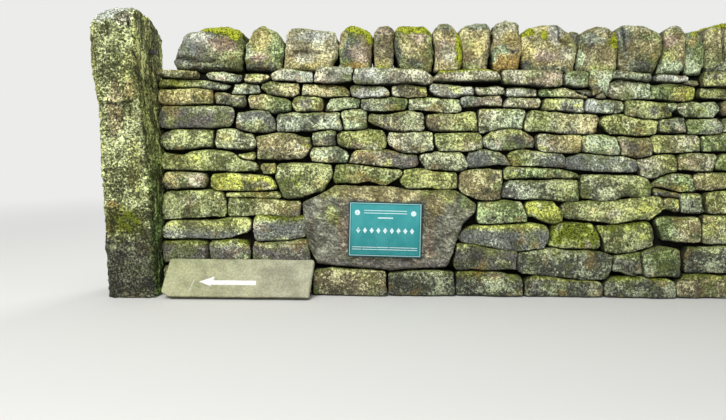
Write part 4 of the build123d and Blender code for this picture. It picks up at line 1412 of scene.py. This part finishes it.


# %% [markdown]
# ## Cope stones
#
# The cope is the row of big stones on edge that weighs the wall down and sheds rain. Each is its
# own stone, with moss where it holds water: on its head, and down the side that another stone
# shades. Some have split along a crack, given here as shares of the stone's width and height with
# its depth in millimetres.

# %% Cope stones
# The dark patches near the foot of a cope stone are painted shadow, where it stands on the cover.
COPES = [
    ("purple>olive", [("slate", 0.15, 0.45, 9, 7), ("rain", 0.4, 0.75, 8, 4), ("pink", 0.72, 0.6, 7, 4),
                      ("dark", 0.4, 0.06, 14, 3), ("cap", 0.66, 0.98, 12, 4),
                      ("cap", 0.88, 0.86, 5, 4)]),
    ("yellow>olive", [("gold", 0.4, 0.72, 6, 5), ("pink", 0.35, 0.3, 6, 3), ("green", 0.85, 0.5, 4, 6),
                      ("mint", 0.05, 0.45, 3, 4), ("dark", 0.4, 0.06, 10, 3.5)]),
    ("buff^cream", [("gold", 0.55, 0.12, 10, 3), ("rain", 0.6, 0.8, 8, 3), ("cream", 0.4, 0.3, 6, 3)]),
    ("green>buff", [("gold", 0.1, 0.72, 3, 5), ("grey", 0.4, 0.62, 5, 4), ("pink", 0.62, 0.38, 6, 5),
                    ("purple", 0.2, 0.36, 2.5, 3), ("ochre", 0.45, 0.13, 7, 2),
                    ("dark", 0.5, 0.0, 10, 2), ("cap", 0.62, 0.97, 8, 4), ("cap", 0.93, 0.78, 3, 4)]),
    ("brown", [("cream", 0.1, 0.78, 2, 4), ("pink", 0.5, 0.95, 4, 3), ("gold", 0.5, 0.15, 5, 3),
               ("cap", 0.35, 0.02, 5, 2.2)]),
    ("olive", [("buff", 0.4, 0.6, 8, 7), ("pink", 0.62, 0.78, 4, 3), ("dark", 0.06, 0.35, 3, 9),
               ("dark", 0.62, 0.2, 5, 3.5), ("cap", 0.55, 0.97, 13, 3.4)]),
    ("buff", [("pink", 0.35, 0.45, 6, 6), ("cream", 0.5, 0.4, 4, 4), ("grey", 0.35, 0.95, 6, 3),
              ("cap", 0.93, 0.7, 2.6, 8), ("cap", 0.95, 0.3, 2, 6)]),
    ("brown^buff", [("gold", 0.5, 0.5, 5, 5), ("grey", 0.6, 0.96, 7, 2.4), ("olive", 0.3, 0.1, 5, 3)]),
    ("ochre^cream", [("gold", 0.65, 0.66, 6, 4), ("mint", 0.33, 0.43, 5, 2.6),
                     ("soil", 0.7, 0.42, 3, 1.2), ("mint", 0.05, 0.3, 2, 3)]),
    ("buff", [("pink", 0.4, 0.35, 8, 3), ("rain", 0.58, 0.85, 4, 7), ("gold", 0.1, 0.4, 4, 5),
              ("cream", 0.8, 0.4, 5, 4), ("dark", 0.5, 0.03, 12, 3), ("dark", 0.05, 0.12, 5, 4),
              ("cap", 0.38, 0.78, 2.2, 2.4), ("cap", 0.07, 0.84, 3.6, 2.6)]),
    ("brown>buff", [("grey", 0.25, 0.72, 6, 3), ("cream", 0.6, 0.93, 7, 2), ("mint", 0.03, 0.3, 2, 5),
                    ("yellow", 0.6, 0.1, 9, 2), ("cap", 0.92, 0.72, 3, 6)]),
    ("brown>olive", [("slate", 0.12, 0.75, 4, 8), ("cream", 0.5, 0.95, 8, 2), ("dark", 0.5, 0.12, 8, 5),
                     ("buff", 0.7, 0.55, 5, 4)]),
    ("yellow>buff", [("mint", 0.4, 0.12, 7, 4), ("pink", 0.3, 0.7, 4, 4), ("cream", 0.6, 0.95, 5, 2)]),
    ("mint", [("cap", 0.35, 0.9, 2, 1.6), ("gold", 0.3, 0.75, 3, 3), ("green", 0.7, 0.5, 4, 6)]),
    ("olive^buff", [("cap", 0.4, 0.98, 6, 2.5), ("dark", 0.4, 0.06, 8, 4)]),
    ("olive", [("gold", 0.6, 0.5, 6, 5), ("cap", 0.5, 0.98, 8, 3)]),
]
COPE_CRACKS = {
    0: [(0.02, 0.3, 0.35, 0.2, 12), (0.35, 0.2, 0.6, 0.22, 12)],
    2: [(0.2, 0.4, 0.32, 0.46, 8), (0.32, 0.46, 0.7, 0.42, 8), (0.04, 0.68, 0.5, 0.66, 3),
        (0.3, 0.82, 0.8, 0.78, 2.5)],
    9: [(0.62, 1.0, 0.66, 0.68, 12), (0.66, 0.68, 0.8, 0.6, 12)],
    11: [(0.12, 0.95, 0.2, 0.5, 12)],
    14: [(0.3, 0.9, 0.42, 0.3, 12)],
}
MM = 0.001
COPE_CRACK_WIDTH = 0.013
BEDDED_COPES = (0, 2, 8)
cope_names = sorted(name for name in nodes if name.startswith("cope_"))
for number, (node_name, (words, patches)) in enumerate(zip(cope_names, COPES)):
    low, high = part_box(node_name)
    cracks = [
        (low.x + (high.x - low.x) * x_start, low.z + (high.z - low.z) * z_start,
         low.x + (high.x - low.x) * x_end, low.z + (high.z - low.z) * z_end,
         COPE_CRACK_WIDTH, MM * deepest)
        for x_start, z_start, x_end, z_end, deepest in COPE_CRACKS.get(number, [])]
    bm = wrapped_copy(node_name, 0.0105)
    wear(bm, words, 7000 + number, patches, ledge=0.004 if number in BEDDED_COPES else 0.002,
         cracks=cracks, inward=-0.25, bright=1.2,
         joints=(number > 0, number < len(cope_names) - 1))
    finish_piece(bm, f"cope_stone_{number + 1:02d}", "cope_stone", [node_name])

# %% [markdown]
# A small stone is pinned between two cope stones near their heads, where they lean apart.

# %% Pinning stone of the cope
PIN_OUTLINE = [(0.45, 1.405), (0.445, 1.45), (0.47, 1.475), (0.5, 1.465), (0.51, 1.43), (0.49, 1.4)]
PIN_FRONT = 0.15
bm = bmesh.new()
shape_stone(
    bm, PIN_OUTLINE, "purple", 77, depth=0.12,
    place=lambda point: Vector((point.x, point.y - PIN_FRONT, point.z)))
finish_piece(bm, "cope_pinning_stone", "cope_stone")

# %% [markdown]
# ## The gatepost
#
# A rough hewn post, mottled all over by pale lichen and dark pits of the same size. Its side, in
# the shade of the wall, is green and streaked, its foot is dark with splashed soil, and rain has
# washed its head pale.

# %% Gatepost
POST_PATCHES = [
    ("yellow", 0.02, 0.6, 4.5, 60), ("yellow", 0.68, 0.76, 5, 15), ("gold", 0.66, 0.72, 3, 5),
    ("washed", 0.26, 1.0, 14, 7), ("cream", 0.6, 0.96, 4, 4), ("olive", 0.5, 0.87, 4, 5),
    ("buff", 0.4, 0.66, 4, 14), ("yellow", 0.72, 0.45, 4, 16), ("soil", 0.5, 0.05, 40, 29),
    ("damp", 0.45, 0.27, 13, 8), ("moss", 0.56, 0.27, 6, 5.5), ("ochre", 0.27, 0.335, 2.6, 1.7),
]
POST_CRACKS = [
    (-2.035, 1.035, -1.965, 1.03, 0.012, 0.01), (-1.965, 1.03, -1.9, 1.05, 0.012, 0.012),
    (-1.9, 1.43, -1.905, 1.475, 0.011, 0.018), (-1.885, 1.3, -1.85, 1.255, 0.011, 0.014),
]
bm = wrapped_copy("gatepost", 0.01)
wear(bm, "mottled", 7100, POST_PATCHES, side_words="shade^yellow", lump=0.006, crumb=0.006,
     cracks=POST_CRACKS, bright=1.16)
finish_piece(bm, "gatepost_rough", "gatepost_stone", ["gatepost"])

# %% [markdown]
# ## The face stone
#
# The boulder that carries the plaque has a fibrous, split face. Lichen keeps to its upper edge,
# where rain runs over, and brown painted shadow lies beside the plaque's sides.

# %% Face stone
# The two brown patches beside the plaque's sides are painted shadow.
FACE_PATCHES = [
    ("yellow", 0.2, 0.97, 14, 5), ("buff", 0.5, 0.94, 28, 6.5), ("yellow", 0.8, 0.93, 11, 6),
    ("buff", 0.76, 0.78, 5, 6), ("green", 0.95, 0.84, 6, 5), ("dark", 1.0, 0.4, 3, 12),
    ("plaque_shadow", 0.73, 0.35, 2.2, 12), ("plaque_shadow", 0.235, 0.4, 2, 14), ("pink", 0.735, 0.2, 3, 1.6),
    ("purple", 0.5, 0.03, 60, 5), ("olive", 0.17, 0.66, 5, 5), ("yellow", 0.19, 0.6, 2.5, 3),
]
bm = wrapped_copy("face_stone", 0.009)
wear(bm, "bark", 7200, FACE_PATCHES, lump=0.006, crumb=0.003, ledge=0.001, bright=1.3)
finish_piece(bm, "face_stone_worn", "face_stone", ["face_stone"])

# %% [markdown]
# ## The sign slab
#
# A riven sandstone slab that leans on the wall, with a plain arrow painted on it. Paint has no
# thickness worth modelling, so the arrow is a mask in the slab's material. The mesh tells the
# material where it is on the slab, along its length and up its slope, and two steps and a wedge
# draw the arrow there. Noise breaks it up where the paint has worn.

# %% Slab
SLAB_LEAN = math.radians(26)
SLAB_HEIGHT = 0.21
slab_low, slab_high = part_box("sign_slab")
slab_foot = slab_high.y - SLAB_HEIGHT * math.sin(SLAB_LEAN)
bm = wrapped_copy("sign_slab", 0.007)
wear(bm, "sand>slab", 7300, lump=0.0025, crumb=0.0012, ledge=0.0004, bright=0.95)
along_layer = bm.verts.layers.float.new("slab_along")
slope_layer = bm.verts.layers.float.new("slab_slope")
for vert in bm.verts:
    vert[along_layer] = vert.co.x - slab_low.x
    vert[slope_layer] = (
        (vert.co.y - slab_foot) * math.sin(SLAB_LEAN) + vert.co.z * math.cos(SLAB_LEAN))

# %% Slab material
ARROW_TIP, ARROW_NECK, ARROW_TAIL = 0.199, 0.265, 0.508
SHAFT_LOW, SHAFT_HIGH, TIP_HEIGHT = 0.066, 0.09, 0.082
TIP_SPREAD = 0.36
BARB_SLANT, BARBS_LEFT, BARBS_RIGHT = -0.3, 0.1, 0.249
SCRATCH_SLANT, SCRATCH_LEFT, SCRATCH_RIGHT = -0.32, 0.1415, 0.1445
SCRATCH_LOW, SCRATCH_HIGH = 0.03, 0.094


def band(tree, value, low, high, soft=0.0015):
    """One between two marks and zero outside them."""
    inside = soft_step(tree, value, low - soft, low + soft)
    return calc(tree, "MULTIPLY", inside, soft_step(tree, value, high + soft, high - soft))


def oblong(tree, one, low_one, high_one, two, low_two, high_two):
    """One where two values both lie between their marks."""
    first = band(tree, one, low_one, high_one)
    return calc(tree, "MULTIPLY", first, band(tree, two, low_two, high_two))


tree, shader = rock_material("slab_stone", pits=-0.6, size=0.8, bump=0.0012, grit=0.3, stain=0.2)
along, slope = read_mesh(tree, "slab_along"), read_mesh(tree, "slab_slope")
shaft = oblong(tree, along, ARROW_NECK, ARROW_TAIL, slope, SHAFT_LOW, SHAFT_HIGH)
aside = calc(tree, "ABSOLUTE", calc(tree, "SUBTRACT", slope, TIP_HEIGHT))
wedge = calc(tree, "MULTIPLY", calc(tree, "SUBTRACT", along, ARROW_TIP), TIP_SPREAD)
in_wedge = soft_step(tree, calc(tree, "SUBTRACT", aside, wedge), 0.001, -0.002)
slant = calc(tree, "MULTIPLY_ADD", slope, BARB_SLANT, along)
head = calc(tree, "MULTIPLY", band(tree, slant, BARBS_LEFT, BARBS_RIGHT), in_wedge)
arrow = calc(tree, "MAXIMUM", shaft, head)
scratch_line = calc(tree, "MULTIPLY_ADD", slope, SCRATCH_SLANT, along)
scratch = oblong(tree, scratch_line, SCRATCH_LEFT, SCRATCH_RIGHT, slope, SCRATCH_LOW, SCRATCH_HIGH)
worn = soft_step(tree, grain(tree, object_place(tree), 70.0, 5.0, 0.7), 0.3, 0.42)
paint = calc(tree, "MULTIPLY", calc(tree, "MAXIMUM", arrow, calc(tree, "MULTIPLY", scratch, 0.7)), worn)
bare = shader.inputs["Base Color"].links[0].from_socket
tree.links.new(blend_colours(tree, paint, bare, colour(246, 246, 240)), shader.inputs["Base Color"])
finish_piece(bm, "sign_slab_riven", "slab_stone", ["sign_slab"])

# %% [markdown]
# ## The plaque
#
# A cast plate with a raised rim, painted teal, with a pale line picked out on the rim. The plate
# itself comes from the frame. Its raised marks are plain rules, lozenges and studs, cut from flat
# shapes that are pushed out and then laid on the plate, which leans with the wall and hangs a
# degree out of level.

# %% Plaque place
plaque_low, plaque_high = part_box("plaque")
PLAQUE_MIDDLE = (plaque_low + plaque_high) / 2
PLAQUE_OUT = Vector((0, -1, BATTER)).normalized()
PLAQUE_TURN = math.radians(-1)
level = Vector((1, 0, 0))
rising = PLAQUE_OUT.cross(level)
rising = rising if rising.z > 0 else -rising
plaque_right = level * math.cos(PLAQUE_TURN) + rising * math.sin(PLAQUE_TURN)
plaque_up = rising * math.cos(PLAQUE_TURN) - level * math.sin(PLAQUE_TURN)
FIELD_OUT = 4.5 * MM
MARK_HEIGHT, MARK_BEVEL = 1.8, 0.7
print("plaque middle", PLAQUE_MIDDLE)


def raised_mark(bm, across, up, width, height, corners=4, turn=0.0):
    """Adds one flat mark to the plaque's relief, all in millimetres from its middle."""
    made = bmesh.ops.create_circle(bm, cap_ends=True, segments=corners, radius=0.5)
    verts = made["verts"]
    bmesh.ops.rotate(bm, verts=verts, matrix=Matrix.Rotation(turn, 3, "Z"))
    wide = max(v.co.x for v in verts) - min(v.co.x for v in verts)
    tall = max(v.co.y for v in verts) - min(v.co.y for v in verts)
    bmesh.ops.scale(bm, verts=verts, vec=(width / wide, height / tall, 1))
    bmesh.ops.translate(bm, verts=verts, vec=(across, up, 0))


# %% Plaque relief
bm = bmesh.new()
for side in (-155, 155):
    raised_mark(bm, side, 91, 30, 30, corners=20)
for up, width, height in ((104, 236, 4), (90, 236, 4), (64, 84, 7), (-98, 356, 3.5), (-110, 356, 3.5)):
    raised_mark(bm, 0, up, width, height, turn=math.pi / 4)
for number in range(9):
    raised_mark(bm, -148 + 37 * number, -6, 24, 34)
pushed = bmesh.ops.extrude_face_region(bm, geom=list(bm.faces))
top = [item for item in pushed["geom"] if isinstance(item, bmesh.types.BMVert)]
bmesh.ops.translate(bm, verts=top, vec=(0, 0, MARK_HEIGHT))
bmesh.ops.recalc_face_normals(bm, faces=bm.faces)
edges = [edge for edge in bm.edges if all(vert in top for vert in edge.verts)]
bmesh.ops.bevel(
    bm, geom=edges, offset=MARK_BEVEL, segments=1, affect="EDGES", profile=0.5, material=-1)
relief_layer = bm.verts.layers.float.new("relief")
for vert in bm.verts:
    vert[relief_layer] = 1.0
    across, up, out = vert.co * MM
    vert.co = (
        PLAQUE_MIDDLE + plaque_right * across + plaque_up * up + PLAQUE_OUT * (FIELD_OUT + out))

# %% Plaque material
HALF_WIDTH, HALF_HEIGHT = 203 * MM, 152.5 * MM
tree, shader = new_material("plaque_enamel")
spot = object_place(tree)
from_middle = {0: spot, 1: tuple(PLAQUE_MIDDLE)}
centred = add_node(tree, "VectorMath", from_middle, operation="SUBTRACT").outputs[0]


def along_way(tree, way):
    """How far a point lies from the plaque's middle in one direction."""
    inputs = {0: centred, 1: tuple(way)}
    return add_node(tree, "VectorMath", inputs, operation="DOT_PRODUCT").outputs["Value"]


across = calc(tree, "ABSOLUTE", along_way(tree, plaque_right))
rising_by = along_way(tree, plaque_up)
up = calc(tree, "ABSOLUTE", rising_by)
from_side = calc(tree, "SUBTRACT", HALF_WIDTH, across)
from_edge = calc(tree, "MINIMUM", from_side, calc(tree, "SUBTRACT", HALF_HEIGHT, up))
line = band(tree, from_edge, 0.0082, 0.011, 0.0008)
# Painted shadow: a dark band inside the pale line, and the rim's outer edge painted near black.
line_shadow = band(tree, from_edge, 0.0125, 0.0155, 0.0012)
rim_shadow = soft_step(tree, from_edge, 0.0078, 0.0055)
cloud = grain(tree, spot, 14.0, 4.0)
grit = grain(tree, spot, 190.0, 3.0, 0.7)
teal = blend_colours(
    tree, soft_step(tree, rising_by, -0.15, 0.15), colour(18, 128, 129), colour(42, 150, 152))
teal = blend_colours(tree, soft_step(tree, cloud, 0.4, 0.65, 0.0, 0.22), teal, colour(92, 186, 188))
teal = blend_colours(tree, soft_step(tree, grit, 0.58, 0.7, 0.0, 0.3), teal, colour(14, 90, 92))
# The painted shadows are laid on the teal here.
teal = blend_colours(tree, calc(tree, "MULTIPLY", line_shadow, 0.65), teal, colour(12, 70, 76))
teal = blend_colours(tree, rim_shadow, teal, colour(10, 40, 42))
chipped = soft_step(tree, grain(tree, spot, 60.0, 4.0, 0.7), 0.32, 0.42)
pale = calc(tree, "MAXIMUM", calc(tree, "MULTIPLY", line, 0.65), read_mesh(tree, "relief"))
pale = calc(tree, "MULTIPLY", pale, chipped)
face = blend_colours(tree, pale, teal, colour(216, 236, 236))
tree.links.new(face, shader.inputs["Base Color"])
tree.links.new(soft_step(tree, cloud, 0.3, 0.7, 0.38, 0.58), shader.inputs["Roughness"])
bumped = add_node(tree, "Bump", {"Height": grit, "Strength": 0.25, "Distance": 0.0008})
tree.links.new(bumped.outputs[0], shader.inputs["Normal"])


def dress_node(node_name, slot):
    """Gives a frame node that stays as it is its material."""
    nodes[node_name].data.materials.clear()
    nodes[node_name].data.materials.append(materials[slot])


dress_node("plaque", "plaque_enamel")
finish_piece(bm, "plaque_relief", "plaque_enamel", smooth=False)

# %% [markdown]
# ## Old iron
#
# The stub of a fitting that was leaded into the post. Iron left in the rain turns nearly black,
# with rust where water sits.

# %% Iron
tree, shader = new_material("old_iron")
rusting = grain(tree, object_place(tree), 90.0, 5.0, 0.7)
iron = blend_colours(tree, soft_step(tree, rusting, 0.45, 0.62), colour(54, 55, 54), colour(92, 74, 58))
tree.links.new(iron, shader.inputs["Base Color"])
tree.links.new(soft_step(tree, rusting, 0.4, 0.6, 0.6, 0.95), shader.inputs["Roughness"])
bumped = add_node(tree, "Bump", {"Height": rusting, "Strength": 0.6, "Distance": 0.002})
tree.links.new(bumped.outputs[0], shader.inputs["Normal"])
dress_node("gatepost_iron", "old_iron")

# %% [markdown]
# ## Floor, light and camera
#
# A plain pale floor and soft light, so that nothing but the wall speaks. Far from the wall the
# lamps no longer reach the floor, so it fades into the pale backdrop there, but only as seen by
# the camera and in reflections. The camera stands where a walker would stand, about three metres
# away, a little below the height of the cope.

# %% Floor
FLOOR_REACH = 30
FADE_FROM, FADE_TO = 2.5, 8.0
BACKDROP = colour(236, 236, 234)


def seen_directly(tree):
    """One for what the camera sees, straight or in a reflection, and zero for light on the object."""
    rays = add_node(tree, "LightPath").outputs
    mirrored = calc(tree, "MAXIMUM", rays["Is Glossy Ray"], rays["Is Transmission Ray"])
    return calc(tree, "MAXIMUM", rays["Is Camera Ray"], mirrored)


bm = bmesh.new()
bmesh.ops.create_grid(bm, x_segments=1, y_segments=1, size=FLOOR_REACH)
floor_mesh = bpy.data.meshes.new("floor")
bm.to_mesh(floor_mesh)
bm.free()
floor = bpy.data.objects.new("floor", floor_mesh)
bpy.context.scene.collection.objects.link(floor)
floor_material = bpy.data.materials.new("pale_floor")
floor_material.use_nodes = True
floor_shader = floor_material.node_tree.nodes["Principled BSDF"]
floor_shader.inputs["Base Color"].default_value = colour(222, 221, 216)
floor_shader.inputs["Roughness"].default_value = 0.9
tree = floor_material.node_tree
away = add_node(tree, "VectorMath", {0: object_place(tree)}, operation="LENGTH").outputs["Value"]
faded = calc(tree, "MULTIPLY", seen_directly(tree), soft_step(tree, away, FADE_FROM, FADE_TO))
glow = add_node(tree, "Emission", {"Color": BACKDROP, "Strength": 1.0})
both = add_node(tree, "MixShader", {0: faded, 1: floor_shader.outputs[0], 2: glow.outputs[0]})
tree.links.new(both.outputs[0], tree.nodes["Material Output"].inputs["Surface"])
floor_mesh.materials.append(floor_material)

# %% Light
world = bpy.data.worlds.new("studio")
bpy.context.scene.world = world
world.use_nodes = True
SKY = (0.93, 0.96, 1.0, 1)
SKY_STRENGTH = 0.55
tree = world.node_tree
tree.nodes.clear()
soft = add_node(tree, "Background", {"Color": SKY, "Strength": SKY_STRENGTH})
pale = add_node(tree, "Background", {"Color": BACKDROP, "Strength": 1.0})
both = add_node(tree, "MixShader", {0: seen_directly(tree), 1: soft.outputs[0], 2: pale.outputs[0]})
add_node(tree, "OutputWorld", {"Surface": both.outputs[0]})


def add_lamp(name, place, aim, size, power):
    """A soft square lamp."""
    lamp = bpy.data.lights.new(name, "AREA")
    lamp.energy = power
    lamp.size = size
    lamp_object = bpy.data.objects.new(name, lamp)
    lamp_object.location = place
    lamp_object.rotation_euler = (Vector(aim) - Vector(place)).to_track_quat("-Z", "Y").to_euler()
    bpy.context.scene.collection.objects.link(lamp_object)


WALL_MIDDLE = (0, 0, 0.6)
add_lamp("key", (-2.5, -4.5, 5.0), WALL_MIDDLE, size=3.0, power=320)
add_lamp("back", (1.0, 5.0, 5.0), WALL_MIDDLE, size=3.0, power=180)

# %% Camera
EYE = Vector((-0.693, -3.18, 0.805))
PITCH = math.radians(6.5)
ROLL = math.radians(0.5)
SENSOR, LENS = 36, 25.98
sideways = Vector((1, 0, 0))
ahead = Vector((0, math.cos(PITCH), -math.sin(PITCH)))
level_up = Vector((0, math.sin(PITCH), math.cos(PITCH)))
right = sideways * math.cos(ROLL) + level_up * math.sin(ROLL)
up = level_up * math.cos(ROLL) - sideways * math.sin(ROLL)
camera_data = bpy.data.cameras.new("walker")
camera_data.sensor_width = SENSOR
camera_data.lens = LENS
camera = bpy.data.objects.new("walker", camera_data)
turn = Matrix((right, up, -ahead)).transposed()
camera.matrix_world = Matrix.Translation(EYE) @ turn.to_4x4()
bpy.context.scene.collection.objects.link(camera)
bpy.context.scene.camera = camera
bpy.context.scene.view_settings.view_transform = "Standard"
